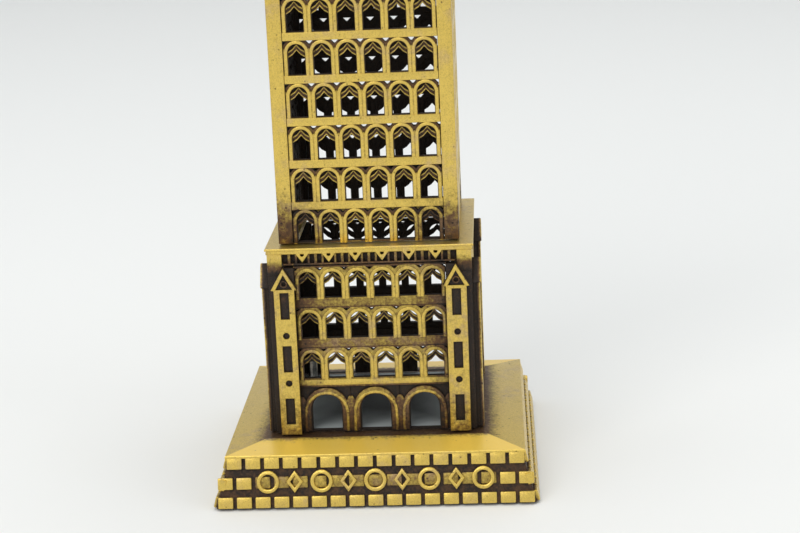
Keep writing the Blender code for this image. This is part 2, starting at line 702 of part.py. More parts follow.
def build_corbel():
    foot_half = SHAFT_WIDTH / 2 + CORBEL_FOOT_PROUD
    inner_half = SHAFT_WIDTH / 2 - WALL_THICKNESS - CORBEL_SHELF
    top_half = CLOCK_WIDTH / 2 + CORBEL_LIP
    plate_low_z = CORBEL_TOP_Z - CORBEL_PLATE
    profile = [
        (inner_half, CORBEL_TOP_Z),
        (top_half, CORBEL_TOP_Z),
        (top_half, plate_low_z),
        ((top_half + foot_half) / 2, (plate_low_z + CORBEL_FOOT_Z) / 2),
        (foot_half, CORBEL_FOOT_Z),
        (inner_half, CORBEL_FOOT_Z),
    ]
    lower = slots_all_round(SHAFT_WIDTH, WALL_THICKNESS, CORBEL_FOOT_Z, 1)
    upper = slots_all_round(CLOCK_WIDTH, CLOCK_WALL_THICKNESS, CORBEL_TOP_Z, -1)
    corbel = join_and_cut(square_turned(profile, closed=True), cut=[merged(lower), merged(upper)])
    place("corbel", corbel, CASTING)


def build_clock_walls():
    opening = circle(CLOCK_OPENING_RADIUS, DIAL_FACETS, 0.0, CLOCK_CENTRE_Z)
    wall = mitred_wall(CLOCK_WIDTH, CLOCK_WALL_THICKNESS, CLOCK_FOOT_Z, CLOCK_TOP_Z, [opening])
    strip_x = CLOCK_WIDTH / 2 - FRAME_STRIP_WIDTH
    low_z, high_z = CLOCK_FOOT_Z + FRAME_RAIL_WIDTH, CLOCK_TOP_Z - FRAME_RAIL_WIDTH
    frame_opening = rectangle(-strip_x, low_z, strip_x, high_z)
    frame_width = CLOCK_WIDTH + 2 * FRAME_PROUD
    frame_low_z, frame_high_z = CLOCK_FOOT_Z + EDGE_STEP, CLOCK_TOP_Z - EDGE_STEP
    frame_depth = FRAME_PROUD + OVERLAP
    frame = mitred_wall(frame_width, frame_depth, frame_low_z, frame_high_z, [frame_opening], inset=GAP)
    lower = tongues(CLOCK_WIDTH, CLOCK_WALL_THICKNESS, CLOCK_FOOT_Z, -1)
    upper = tongues(CLOCK_WIDTH, CLOCK_WALL_THICKNESS, CLOCK_TOP_Z, 1)
    pocket_radius = CLOCK_OPENING_RADIUS + DIAL_LAP + GAP
    pocket_y = -CLOCK_WIDTH / 2 + CLOCK_LIP_THICKNESS
    pocket_outline = circle(pocket_radius, DIAL_FACETS, 0.0, CLOCK_CENTRE_Z)
    pocket = upright([pocket_outline], CLOCK_WALL_THICKNESS, pocket_y)
    wall = join_and_cut(wall, joined=[frame, merged(lower + upper)], cut=[pocket])
    place_on_four_sides("clock_wall", wall, CASTING)


def hand(length, width, turns, outer_y, thickness):
    """A cast clock hand that points turns round from the top, clockwise as seen from the front."""
    angle = math.pi / 2 - 2 * math.pi * turns
    along = Vector((math.cos(angle), math.sin(angle)))
    across = Vector((-along.y, along.x)) * (width / 2)
    centre = Vector((0.0, CLOCK_CENTRE_Z))
    tip = centre + along * length
    outline = [centre - across, tip - across / 2, tip + across / 2, centre + across]
    return upright([outline], thickness, outer_y)


def build_dials():
    face_y = -CLOCK_WIDTH / 2 + CLOCK_LIP_THICKNESS + GAP
    outline = circle(CLOCK_OPENING_RADIUS + DIAL_LAP, DIAL_FACETS, 0.0, CLOCK_CENTRE_Z)
    disc = upright([outline], DIAL_THICKNESS, face_y)
    hand_y = face_y - HAND_THICKNESS
    sunk = HAND_THICKNESS + OVERLAP
    hour_turns = (SHOWN_HOUR + SHOWN_MINUTE / 60) / 12
    hour_length = CLOCK_OPENING_RADIUS - HOUR_HAND_SHORT
    minute_length = CLOCK_OPENING_RADIUS - MINUTE_HAND_SHORT
    hour = hand(hour_length, HOUR_HAND_WIDTH, hour_turns, hand_y, sunk)
    minute = hand(minute_length, MINUTE_HAND_WIDTH, SHOWN_MINUTE / 60, hand_y, sunk)
    hub_outline = circle(HAND_HUB_RADIUS, ROUND_FACETS, 0.0, CLOCK_CENTRE_Z)
    hub = upright([hub_outline], sunk + HUB_PROUD, hand_y - HUB_PROUD)
    dial = join_and_cut(disc, joined=[hour, minute, hub])
    place_on_four_sides("clock_dial", dial, DIAL)


# ---------------------------------------------------------------- gallery and belfry


def pinnacle_places():
    inset = PARAPET_THICKNESS + GAP + PINNACLE_WIDTH / 2
    at = GALLERY_WIDTH / 2 - inset
    return [(-at, -at), (at, -at), (at, at), (-at, at)]


def build_gallery():
    outer_half = GALLERY_WIDTH / 2
    parapet_half = outer_half - PARAPET_THICKNESS
    parapet_z = GALLERY_DECK_Z + PARAPET_HEIGHT
    rim_half = BELFRY_WIDTH / 2 - BELFRY_WALL_THICKNESS - GAP
    inner_half = rim_half - GALLERY_RIM_THICKNESS
    rim_z = GALLERY_DECK_Z + GALLERY_RIM_HEIGHT
    profile = [
        (parapet_half, parapet_z),
        (outer_half, parapet_z),
        (outer_half, GALLERY_FOOT_Z + GALLERY_CHAMFER),
        (outer_half - GALLERY_CHAMFER, GALLERY_FOOT_Z),
        (inner_half, GALLERY_FOOT_Z),
        (inner_half, rim_z),
        (rim_half, rim_z),
        (rim_half, GALLERY_DECK_Z),
        (parapet_half, GALLERY_DECK_Z),
    ]
    half = PINNACLE_PEG_WIDTH / 2 + GAP
    low_z = GALLERY_DECK_Z - PINNACLE_PEG_LENGTH - GAP
    high_z = GALLERY_DECK_Z + OVERLAP
    sockets = [block((x - half, y - half, low_z), (x + half, y + half, high_z)) for x, y in pinnacle_places()]
    slots = slots_all_round(CLOCK_WIDTH, CLOCK_WALL_THICKNESS, GALLERY_FOOT_Z, 1)
    gallery = join_and_cut(square_turned(profile, closed=True), cut=[merged(sockets), merged(slots)])
    place("gallery", gallery, CASTING)


def build_pinnacles():
    half, peg_half = PINNACLE_WIDTH / 2, PINNACLE_PEG_WIDTH / 2
    profile = [
        (0.0, PINNACLE_HEIGHT),
        (PINNACLE_NECK_WIDTH / 2, PINNACLE_SHAFT_HEIGHT),
        (half, PINNACLE_SHAFT_HEIGHT),
        (half, 0.0),
        (peg_half, 0.0),
        (peg_half, -PINNACLE_PEG_LENGTH),
        (0.0, -PINNACLE_PEG_LENGTH),
    ]
    pinnacle = square_turned(profile)
    for number, (x, y) in enumerate(pinnacle_places(), start=1):
        place(f"pinnacle_{number}", pinnacle, CASTING, location=(x, y, GALLERY_DECK_Z + GAP))


def pierced_through(mesh, width, loops):
    """Cuts openings, drawn as on the front wall, right through a square stage from both pairs of sides."""
    reach = width / 2 + OVERLAP
    front_to_back = upright(loops, 2 * reach, -reach)
    side_to_side = front_to_back.copy()
    side_to_side.transform(Matrix.Rotation(QUARTER_TURN, 4, "Z"))
    return join_and_cut(mesh, cut=[front_to_back, side_to_side])


def build_belfry():
    outer_half = BELFRY_WIDTH / 2
    inner_half = outer_half - BELFRY_WALL_THICKNESS
    walls = flat([square(outer_half), square(inner_half)], BELFRY_FOOT_Z, BELFRY_TOP_Z)
    sill_z = BELFRY_FOOT_Z + BELFRY_SILL
    arches = arch_row(
        BELFRY_ARCHES, BELFRY_ARCH_PITCH, sill_z, BELFRY_ARCH_WIDTH, BELFRY_ARCH_HEIGHT, WINDOW_FACETS
    )
    place("belfry", pierced_through(walls, BELFRY_WIDTH, arches), CASTING)


# ---------------------------------------------------------------- roofs, lantern and finial


def build_lower_roof():
    """A hollow hipped roof, with a lip under it that fits inside the belfry."""
    eaves_half = BELFRY_WIDTH / 2 + EAVES_PROUD
    eaves_z = ROOF_FOOT_Z + EAVES_HEIGHT
    top_half = ROOF_TOP_WIDTH / 2
    lean = (eaves_half - top_half) / (ROOF_TOP_Z - eaves_z)
    shell = ROOF_SHELL * math.sqrt(1 + lean**2)
    lip_half = BELFRY_WIDTH / 2 - BELFRY_WALL_THICKNESS - GAP
    hollow_half = lip_half - ROOF_LIP_THICKNESS
    hollow_z = eaves_z + (eaves_half - shell - hollow_half) / lean
    ceiling_z = ROOF_TOP_Z - ROOF_SHELL
    profile = [
        (0.0, ROOF_TOP_Z),
        (top_half, ROOF_TOP_Z),
        (eaves_half, eaves_z),
        (eaves_half, ROOF_FOOT_Z),
        (lip_half, ROOF_FOOT_Z),
        (lip_half, ROOF_FOOT_Z - ROOF_LIP_HEIGHT),
        (hollow_half, ROOF_FOOT_Z - ROOF_LIP_HEIGHT),
        (hollow_half, hollow_z),
        (eaves_half - shell - lean * (ceiling_z - eaves_z), ceiling_z),
        (0.0, ceiling_z),
    ]
    half = LANTERN_PEG_WIDTH / 2 + GAP
    socket = block((-half, -half, ceiling_z - OVERLAP), (half, half, ROOF_TOP_Z + OVERLAP))
    place("lower_roof", join_and_cut(square_turned(profile), cut=[socket]), CASTING)


def build_lantern():
    """A small open stage with its floor and a peg under it."""
    outer_half = LANTERN_WIDTH / 2
    inner_half = outer_half - LANTERN_WALL
    floor_half = outer_half + LANTERN_FLOOR_PROUD
    floor_z = LANTERN_FOOT_Z + LANTERN_FLOOR
    peg_half = LANTERN_PEG_WIDTH / 2
    profile = [
        (0.0, floor_z),
        (inner_half, floor_z),
        (inner_half, LANTERN_TOP_Z),
        (outer_half, LANTERN_TOP_Z),
        (outer_half, floor_z),
        (floor_half, floor_z),
        (floor_half, LANTERN_FOOT_Z),
        (peg_half, LANTERN_FOOT_Z),
        (peg_half, LANTERN_FOOT_Z - LANTERN_PEG_LENGTH),
        (0.0, LANTERN_FOOT_Z - LANTERN_PEG_LENGTH),
    ]
    arches = arch_row(
        LANTERN_ARCHES,
        LANTERN_ARCH_PITCH,
        floor_z + LANTERN_SILL,
        LANTERN_ARCH_WIDTH,
        LANTERN_ARCH_HEIGHT,
        WINDOW_FACETS,
    )
    place("lantern", pierced_through(square_turned(profile), LANTERN_WIDTH, arches), CASTING)


def build_spire():
    """A solid spire with a plug that fits inside the lantern and a hole for the finial's stud."""
    eaves_half = LANTERN_WIDTH / 2 + SPIRE_EAVES_PROUD
    top_half = SPIRE_TOP_WIDTH / 2
    plug_half = LANTERN_WIDTH / 2 - LANTERN_WALL - GAP
    profile = [
        (0.0, SPIRE_TOP_Z),
        (top_half, SPIRE_TOP_Z),
        (eaves_half, SPIRE_FOOT_Z + EAVES_HEIGHT),
        (eaves_half, SPIRE_FOOT_Z),
        (plug_half, SPIRE_FOOT_Z),
        (plug_half, SPIRE_FOOT_Z - SPIRE_PLUG),
        (0.0, SPIRE_FOOT_Z - SPIRE_PLUG),
    ]
    hole_low_z = SPIRE_TOP_Z - FINIAL_STUD_LENGTH - GAP
    hole = rod(FINIAL_STUD_RADIUS + GAP, hole_low_z, SPIRE_TOP_Z + OVERLAP)
    place("spire", join_and_cut(square_turned(profile), cut=[hole]), CASTING)


def build_finial():
    """A turned ball and spike on a collar, with a stud below."""
    collar_radius = SPIRE_TOP_WIDTH / 2
    collar_z = FINIAL_FOOT_Z + FINIAL_NECK_RADIUS
    ball_z = collar_z + 2 * FINIAL_NECK_RADIUS + FINIAL_BALL_RADIUS
    neck_angle = math.acos(FINIAL_NECK_RADIUS / FINIAL_BALL_RADIUS)
    angles = [neck_angle * (1 - 2 * i / BALL_FACETS) for i in range(BALL_FACETS + 1)]
    ball = [(FINIAL_BALL_RADIUS * math.cos(a), ball_z + FINIAL_BALL_RADIUS * math.sin(a)) for a in angles]
    profile = [
        (0.0, FINIAL_FOOT_Z + FINIAL_HEIGHT),
        *ball,
        (FINIAL_NECK_RADIUS, collar_z),
        (collar_radius, collar_z),
        (collar_radius, FINIAL_FOOT_Z),
        (FINIAL_STUD_RADIUS, FINIAL_FOOT_Z),
        (FINIAL_STUD_RADIUS, FINIAL_FOOT_Z - GAP - FINIAL_STUD_LENGTH),
        (0.0, FINIAL_FOOT_Z - GAP - FINIAL_STUD_LENGTH),
    ]
    place("finial", turned(profile), CASTING, smooth=True)


clear_scene()
TOWER = new_collection("clock_tower")
CUTTERS = new_collection("cutters")
CASTING = new_material("antique brass", (0.47, 0.34, 0.12), 0.38, 1.0)
DIAL = new_material("worn dial brass", (0.56, 0.43, 0.2), 0.34, 1.0)
STEEL = new_material("screw steel", (0.5, 0.49, 0.46), 0.35, 1.0)
FELT = new_material("dark green felt", (0.02, 0.07, 0.035), 0.95, 0.0)

build_base()
build_screws()
build_lower_block()
build_shaft()
build_corbel()
build_clock_walls()
build_dials()
build_gallery()
build_pinnacles()
build_belfry()
build_lower_roof()
build_lantern()
build_spire()
build_finial()
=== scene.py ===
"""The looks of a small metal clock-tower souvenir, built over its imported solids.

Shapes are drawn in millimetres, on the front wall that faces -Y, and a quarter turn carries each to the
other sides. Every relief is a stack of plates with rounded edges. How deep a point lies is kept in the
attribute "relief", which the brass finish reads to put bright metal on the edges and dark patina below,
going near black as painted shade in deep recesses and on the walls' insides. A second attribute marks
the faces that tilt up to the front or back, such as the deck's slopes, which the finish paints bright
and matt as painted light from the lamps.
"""

import math

import bmesh
import bpy
from mathutils import Matrix, Vector


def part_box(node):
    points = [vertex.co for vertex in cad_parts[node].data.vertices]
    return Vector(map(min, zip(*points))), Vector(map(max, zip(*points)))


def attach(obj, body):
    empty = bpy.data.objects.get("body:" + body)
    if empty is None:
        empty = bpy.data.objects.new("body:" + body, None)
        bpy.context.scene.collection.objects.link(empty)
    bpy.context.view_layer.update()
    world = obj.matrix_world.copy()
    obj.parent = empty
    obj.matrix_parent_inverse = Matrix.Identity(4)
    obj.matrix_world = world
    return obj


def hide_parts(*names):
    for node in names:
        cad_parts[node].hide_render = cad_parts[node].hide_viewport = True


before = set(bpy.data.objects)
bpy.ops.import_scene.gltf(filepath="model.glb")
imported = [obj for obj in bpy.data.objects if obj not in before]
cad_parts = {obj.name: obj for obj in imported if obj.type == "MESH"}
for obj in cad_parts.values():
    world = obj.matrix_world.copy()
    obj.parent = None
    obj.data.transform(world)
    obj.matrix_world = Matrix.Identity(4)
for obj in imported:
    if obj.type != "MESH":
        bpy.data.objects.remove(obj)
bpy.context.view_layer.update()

MM = 0.001
QUARTER = math.pi / 2
SIDES = ("front", "right", "back", "left")
ARC_STEPS = 12
TOUCH = 0.001  # points nearer than this are one point
SMOOTH_BELOW = math.radians(38)


def low(node):
    """The lowest corner of a solid, in millimetres."""
    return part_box(node)[0] / MM


def high(node):
    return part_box(node)[1] / MM


# ---------------------------------------------------------------- finishes


class Socket:
    """A socket of a shader tree, on which maths can be written as maths."""

    def __init__(self, finish, socket):
        self.finish, self.socket = finish, socket

    def maths(self, operation, *values, clamp=False):
        inputs = dict(enumerate(values))
        return self.finish.node("Math", inputs, operation=operation, use_clamp=clamp)

    def __add__(self, other):
        return self.maths("ADD", self, other)

    def __sub__(self, other):
        return self.maths("SUBTRACT", self, other)

    def __rsub__(self, other):
        return self.maths("SUBTRACT", other, self)

    def __mul__(self, other):
        return self.maths("MULTIPLY", self, other)

    __radd__ = __add__
    __rmul__ = __mul__

    def clamped(self):
        return self.maths("ADD", self, 0.0, clamp=True)

    def between(self, start, end):
        """0 below start, 1 above end, and smooth between them."""
        inputs = {0: self, 1: start, 2: end}
        return self.finish.node("MapRange", inputs, interpolation_type="SMOOTHSTEP")


class Finish:
    """A material with one Principled shader."""

    def __init__(self, name, **constants):
        self.material = bpy.data.materials.new(name)
        self.material.use_nodes = True
        self.tree = self.material.node_tree
        self.shader = self.tree.nodes["Principled BSDF"]
        for key, value in constants.items():
            self.shader.inputs[key.replace("_", " ").title()].default_value = value

    def node(self, kind, inputs=(), output=0, stops=(), **settings):
        made = self.tree.nodes.new("ShaderNode" + kind)
        for name, value in settings.items():
            setattr(made, name, value)
        if stops:
            ramp = made.color_ramp
            while len(ramp.elements) < len(stops):
                ramp.elements.new(0.5)
            for element, (position, color) in zip(ramp.elements, stops):
                element.position = position
                element.color = (*color, 1.0)
        for key, value in dict(inputs).items():
            if isinstance(value, Socket):
                self.tree.links.new(value.socket, made.inputs[key])
            else:
                made.inputs[key].default_value = value
        return Socket(self, made.outputs[output])

    def attribute(self, name):
        return self.node("Attribute", output="Fac", attribute_name=name, attribute_type="GEOMETRY")

    def feed(self, name, value):
        self.tree.links.new(value.socket, self.shader.inputs[name])

    def millimetres(self, stretch=(1.0, 1.0, 1.0)):
        """The place on the piece, in millimetres, stretched by a factor along each axis."""
        place = self.node("TexCoord", output="Object")
        scale = tuple(factor / MM for factor in stretch)
        return self.node("VectorMath", {0: place, 1: scale}, operation="MULTIPLY")

    def noise(self, place, scale, detail=2.0, roughness=0.5):
        inputs = {"Vector": place, "Scale": scale, "Detail": detail, "Roughness": roughness}
        return self.node("TexNoise", inputs, output="Fac")

    def blend(self, factor, first, second):
        inputs = {0: factor, 6: first, 7: second}
        return self.node("Mix", inputs, output=2, data_type="RGBA")


def cast_brass(name, bright, worn, brown, dark, patina=0.0):
    """Plated cast metal: bright where it stands proud, brown and then near black as it lies deeper; the brown
    is patina in the hollows, and the near black is also painted shade in deep recesses.
    """
    edge_roughness = 0.32
    finish = Finish(name, coat_roughness=0.3)
    place = finish.millimetres()
    relief = finish.attribute("relief")
    lit_slope = finish.attribute("lit_slope")
    height = finish.node("SeparateXYZ", {0: place}, output="Z")
    unsigned = finish.node("VectorMath", {0: place}, operation="ABSOLUTE")
    across = finish.node("SeparateXYZ", {0: unsigned}, output="X")
    lateral = across.maths("MINIMUM", across, finish.node("SeparateXYZ", {0: unsigned}, output="Y"))

    clouds = finish.noise(place, 0.16, 4.0, 0.6)
    blotches = finish.noise(place, 0.75, 5.0, 0.62)
    grain = finish.noise(place, 5.5, 3.0, 0.7)
    speckle = finish.noise(place, 2.2, 4.0, 0.7)
    strokes = finish.noise(finish.millimetres((3.2, 3.2, 0.22)), 1.0, 3.0, 0.6)
    cells = {"Vector": place, "Scale": 0.85, "Randomness": 1.0}
    pits = finish.node("TexVoronoi", cells, output="Distance")
    pits = (1.0 - pits.between(0.06, 0.2)) * blotches.between(0.42, 0.6)

    # Patina and painted shade: darker at the feet of the shaft and the block and in the corners beside the
    # buttresses, and the whole block a little browner.
    under_cornice = 1.0 - height.between(BLOCK_TOP - 2.6, BLOCK_TOP - 1.0)
    in_block = height.between(DECK_FOOT - 0.4, DECK_FOOT) * under_cornice
    shaft_foot = 1.0 - height.between(SHAFT_FOOT, SHAFT_FOOT + 11.0)
    shaft_foot = shaft_foot * height.between(SHAFT_FOOT - 0.1, SHAFT_FOOT + 0.1)
    block_foot = (1.0 - height.between(DECK_FOOT, DECK_FOOT + 9.0)) * in_block
    beside_buttress = lateral.between(7.0, 12.3) * in_block * (1.0 - lateral.between(11.9, 12.0))
    patina_and_corner_shade = shaft_foot * lateral.between(2.0, 13.0) * 0.75 + block_foot * 0.34 + in_block * 0.12
    patina_and_corner_shade = patina_and_corner_shade + beside_buttress * 0.3
    # Patina in the hollows from the relief, going near black as painted shade in deep recesses and on the
    # walls' insides.
    sunk = relief.between(-0.01, 0.02) * 0.1 + 1.0
    depth = relief * 1.25 * sunk + (blotches - 0.5) * 0.36 + (clouds - 0.5) * 0.3
    depth = depth + (speckle - 0.5) * 0.62 + 0.03
    depth = (depth + patina_and_corner_shade * (blotches + 0.25) + patina + pits * 0.34 - lit_slope * 0.12).clamped()

    colors = [
        (0.0, bright),
        (0.14, [0.92 * c for c in bright]),
        (0.32, [0.5 * c for c in bright]),
        (0.5, brown),
        (0.78, dark),
    ]
    base = finish.node("ValToRGB", {0: depth}, stops=colors)
    pink = clouds.between(0.48, 0.66) * (1.0 - depth.between(0.3, 0.8)) * blotches.between(0.36, 0.62)
    base = finish.blend(pink * 0.4, base, (*worn, 1.0))
    tarnish = strokes.between(0.45, 0.78) * 0.12 + grain.between(0.44, 0.72) * 0.34
    base = finish.blend(tarnish, base, (*brown, 1.0))
    # Painted light: the marked slopes are painted bright gold, matt and a little lighter, as the lamps light
    # the deck's front slope.
    slope_light = lit_slope * 0.8 * (1.0 - depth.between(0.08, 0.4))
    base = finish.blend(slope_light, base, (*LIT_SLOPE_GOLD, 1.0))
    finish.feed("Base Color", base)
    finish.feed("Metallic", 0.84 - depth.between(0.35, 0.95) * 0.5 - lit_slope * 0.64)
    finish.feed("Roughness", (depth * 0.34 + edge_roughness + (grain - 0.5) * 0.2 + strokes * 0.1).clamped())
    finish.feed("Coat Weight", 0.45 - depth * 0.4)

    bumps = grain * 0.8 + speckle * 1.3 + strokes * 0.3 + blotches * 0.8 - pits * 1.2
    inputs = {"Strength": 0.5, "Distance": 0.05 * MM, "Height": bumps}
    finish.feed("Normal", finish.node("Bump", inputs))
    return finish.material


def bare_metal(name, color):
    """The unplated inside of the castings, dull, with painted light near the walls and gates and painted
    shade towards the middle.
    """
    finish = Finish(name, metallic=0.2)
    place = finish.millimetres()
    clouds = finish.noise(place, 0.2, 4.0, 0.6)
    grain = finish.noise(place, 3.0, 3.0, 0.6)
    unsigned = finish.node("VectorMath", {0: place}, operation="ABSOLUTE")
    outwards = finish.node("SeparateXYZ", {0: unsigned}, output="X")
    outwards = outwards.maths("MAXIMUM", outwards, finish.node("SeparateXYZ", {0: unsigned}, output="Y"))
    # Painted shade: darker towards the middle, lighter near the walls where light comes in through the gates
    # and windows.
    darker = tuple(0.12 * c for c in color)
    lit_near_walls = (outwards.between(4.0, 15.5) + (clouds - 0.5) * 0.25).clamped()
    finish.feed("Base Color", finish.blend(lit_near_walls, (*darker, 1.0), (*color, 1.0)))
    finish.feed("Roughness", grain * 0.2 + 0.5)
    finish.feed("Normal", finish.node("Bump", {"Strength": 0.3, "Distance": 0.05 * MM, "Height": grain}))
    return finish.material


def felt(name, color):
    """Pressed felt with a short uneven nap."""
    finish = Finish(name, metallic=0.0)
    place = finish.millimetres()
    fibres = finish.noise(finish.millimetres((2.0, 5.0, 5.0)), 1.2, 5.0, 0.75)
    tufts = finish.noise(place, 1.6, 4.0, 0.7)
    lighter = tuple(2.2 * c for c in color)
    finish.feed("Base Color", finish.blend(fibres * tufts.between(0.3, 0.7), (*color, 1.0), (*lighter, 1.0)))
    finish.feed("Roughness", tufts * 0.1 + 0.88)
    height = fibres + tufts * 0.8
    finish.feed("Normal", finish.node("Bump", {"Strength": 0.8, "Distance": 0.15 * MM, "Height": height}))
    return finish.material


def steel(name, color):
    """Dull plated steel with turning lines and stains."""
    finish = Finish(name, metallic=1.0)
    place = finish.millimetres()
    stains = finish.noise(place, 0.9, 4.0, 0.6)
    lines = finish.noise(finish.millimetres((1.0, 1.0, 9.0)), 1.1, 2.0)
    duller = tuple(0.5 * c for c in color)
    finish.feed("Base Color", finish.blend(stains.between(0.45, 0.7), (*color, 1.0), (*duller, 1.0)))
    finish.feed("Roughness", lines * 0.25 + 0.28)
    finish.feed("Normal", finish.node("Bump", {"Strength": 0.25, "Distance": 0.03 * MM, "Height": lines}))
    return finish.material


# ---------------------------------------------------------------- mesh tools


def evaluated_mesh(obj):
    """The mesh of an object with its modifiers applied. The object is removed."""
    bpy.context.view_layer.update()
    mesh = bpy.data.meshes.new_from_object(obj.evaluated_get(bpy.context.evaluated_depsgraph_get()))
    bpy.data.objects.remove(obj, do_unlink=True)
    return mesh


def linked(name, data):
    obj = bpy.data.objects.new(name, data)
    bpy.context.scene.collection.objects.link(obj)
    return obj


def plate(loops, front, depth, edge=0.12, face=None):
    """An upright plate with rounded edges. Loops hold X and Z; front is the Y of its outer face.

    Face is the Y from which the plate's relief is measured, and is its own outer face if none is given.
    """
    edge = min(edge, depth * 0.45)
    curve = bpy.data.curves.new("outline", "CURVE")
    curve.dimensions = "2D"
    curve.fill_mode = "BOTH"
    curve.extrude = depth / 2 - edge
    curve.bevel_depth = edge
    curve.bevel_resolution = 1
    curve.offset = -edge
    for loop in loops:
        spline = curve.splines.new("POLY")
        spline.points.add(len(loop) - 1)
        for point, (x, z) in zip(spline.points, loop):
            point.co = (x, z, 0.0, 1.0)
        spline.use_cyclic_u = True
    mesh = evaluated_mesh(linked("outline", curve))
    for vertex in mesh.vertices:
        x, z, lift = vertex.co
        vertex.co = (x, front + depth / 2 - lift, z)
    mesh = closed(mesh)
    return with_relief(mesh, lambda place: place.y - (front if face is None else face))


def with_relief(mesh, depth_at):
    """Keeps in a mesh how deep each of its points lies."""
    layer = mesh.attributes.get("relief") or mesh.attributes.new("relief", "FLOAT", "POINT")
    for item, vertex in zip(layer.data, mesh.vertices):
        item.value = max(0.0, depth_at(vertex.co))
    return mesh


def closed(mesh):
    """Joins a mesh's doubled points and turns its faces outwards."""
    bm = bmesh.new()
    bm.from_mesh(mesh)
    bmesh.ops.remove_doubles(bm, verts=bm.verts, dist=TOUCH)
    bmesh.ops.recalc_face_normals(bm, faces=bm.faces)
    bm.to_mesh(mesh)
    bm.free()
    return mesh


def divided(mesh, cuts):
    """A mesh with its faces cut smaller, so that relief can fade across them."""
    bm = bmesh.new()
    bm.from_mesh(mesh)
    bmesh.ops.subdivide_edges(bm, edges=bm.edges, cuts=cuts, use_grid_fill=True)
    bm.to_mesh(mesh)
    bm.free()
    return mesh


def gathered(meshes):
    """Several meshes as one, with their attributes kept."""
    bm = bmesh.new()
    for mesh in meshes:
        bm.from_mesh(mesh)
    mesh = bpy.data.meshes.new("gathered")
    bm.to_mesh(mesh)
    bm.free()
    return mesh


def moved(mesh, matrix):
    mesh = mesh.copy()
    mesh.transform(matrix)
    return mesh


def shifted(mesh, x=0.0, y=0.0, z=0.0):
    return moved(mesh, Matrix.Translation((x, y, z)))


def carried_round(profile, sides, turn, widen):
    """A closed profile of (half width, Z) points carried round the axis in flat sides."""
    bm = bmesh.new()
    rings = []
    for i in range(sides):
        angle = 2 * math.pi * i / sides + turn
        across = Vector((math.cos(angle), math.sin(angle))) * widen
        rings.append([bm.verts.new((across.x * half, across.y * half, z)) for half, z in profile])
    for i, ring in enumerate(rings):
        following = rings[(i + 1) % sides]
        for j in range(len(profile)):
            k = (j + 1) % len(profile)
            bm.faces.new((ring[j], ring[k], following[k], following[j]))
    mesh = bpy.data.meshes.new("turned")
    bm.to_mesh(mesh)
    bm.free()
    return closed(mesh)


def four_sided(profile):
    return carried_round(profile, 4, math.pi / 4, math.sqrt(2))


def turned(profile, sides=32):
    return carried_round(profile, sides, 0.0, 1.0)


def soft_box(width, depth, height, edge):
    """A box centred on the origin with rounded edges."""
    bm = bmesh.new()
    bmesh.ops.create_cube(bm, size=1.0)
    bmesh.ops.scale(bm, vec=(width, depth, height), verts=bm.verts)
    bmesh.ops.bevel(bm, geom=bm.edges[:], offset=edge, segments=2, profile=0.6, affect="EDGES")
    mesh = bpy.data.meshes.new("box")
    bm.to_mesh(mesh)
    bm.free()
    return mesh


def new_array_tree():
    """Copies of one shape on an upright grid, counted from the shape's own place."""
    tree = bpy.data.node_groups.new("copies on a grid", "GeometryNodeTree")
    inputs = {
        "Shape": "Object",
        "Columns": "Int",
        "Rows": "Int",
        "Column Pitch": "Float",
        "Row Pitch": "Float",
        "Finish": "Material",
    }
    for name, kind in inputs.items():
        tree.interface.new_socket(name, in_out="INPUT", socket_type="NodeSocket" + kind)
    tree.interface.new_socket("Geometry", in_out="OUTPUT", socket_type="NodeSocketGeometry")
    nodes, links = tree.nodes, tree.links
    given = nodes.new("NodeGroupInput")
    made = nodes.new("NodeGroupOutput")

    lines = []
    for count, pitch, axis in (("Columns", "Column Pitch", "X"), ("Rows", "Row Pitch", "Z")):
        step = nodes.new("ShaderNodeCombineXYZ")
        line = nodes.new("GeometryNodeMeshLine")
        links.new(given.outputs[pitch], step.inputs[axis])
        links.new(given.outputs[count], line.inputs["Count"])
        links.new(step.outputs[0], line.inputs["Offset"])
        lines.append(line)
    grid = nodes.new("GeometryNodeInstanceOnPoints")
    points = nodes.new("GeometryNodeRealizeInstances")
    shape = nodes.new("GeometryNodeObjectInfo")
    copies = nodes.new("GeometryNodeInstanceOnPoints")
    real = nodes.new("GeometryNodeRealizeInstances")
    paint = nodes.new("GeometryNodeSetMaterial")
    links.new(lines[0].outputs[0], grid.inputs["Points"])
    links.new(lines[1].outputs[0], grid.inputs["Instance"])
    links.new(grid.outputs[0], points.inputs[0])
    links.new(given.outputs["Shape"], shape.inputs["Object"])
    links.new(points.outputs[0], copies.inputs["Points"])
    links.new(shape.outputs["Geometry"], copies.inputs["Instance"])
    links.new(copies.outputs[0], real.inputs[0])
    links.new(real.outputs[0], paint.inputs["Geometry"])
    links.new(given.outputs["Finish"], paint.inputs["Material"])
    links.new(paint.outputs[0], made.inputs[0])
    return tree


def arrayed(mesh, columns=1, rows=1, column_pitch=0.0, row_pitch=0.0):
    """Copies of a mesh on a grid that is centred on X and starts at the mesh's own height."""
    shape = linked("shape", shifted(mesh, x=-(columns - 1) / 2 * column_pitch))
    host = linked("copies", bpy.data.meshes.new("copies"))
    modifier = host.modifiers.new("copies", "NODES")
    modifier.node_group = ARRAY_TREE
    values = {
        "Shape": shape,
        "Columns": columns,
        "Rows": rows,
        "Column Pitch": column_pitch,
        "Row Pitch": row_pitch,
        "Finish": BRASS,
    }
    for item in ARRAY_TREE.interface.items_tree:
        if item.in_out == "INPUT":
            modifier[item.identifier] = values[item.name]
    made = evaluated_mesh(host)
    bpy.data.objects.remove(shape, do_unlink=True)
    made.materials.clear()
    return made


# ---------------------------------------------------------------- outlines


def rectangle(low_x, low_z, high_x, high_z):
    return [(low_x, low_z), (high_x, low_z), (high_x, high_z), (low_x, high_z)]


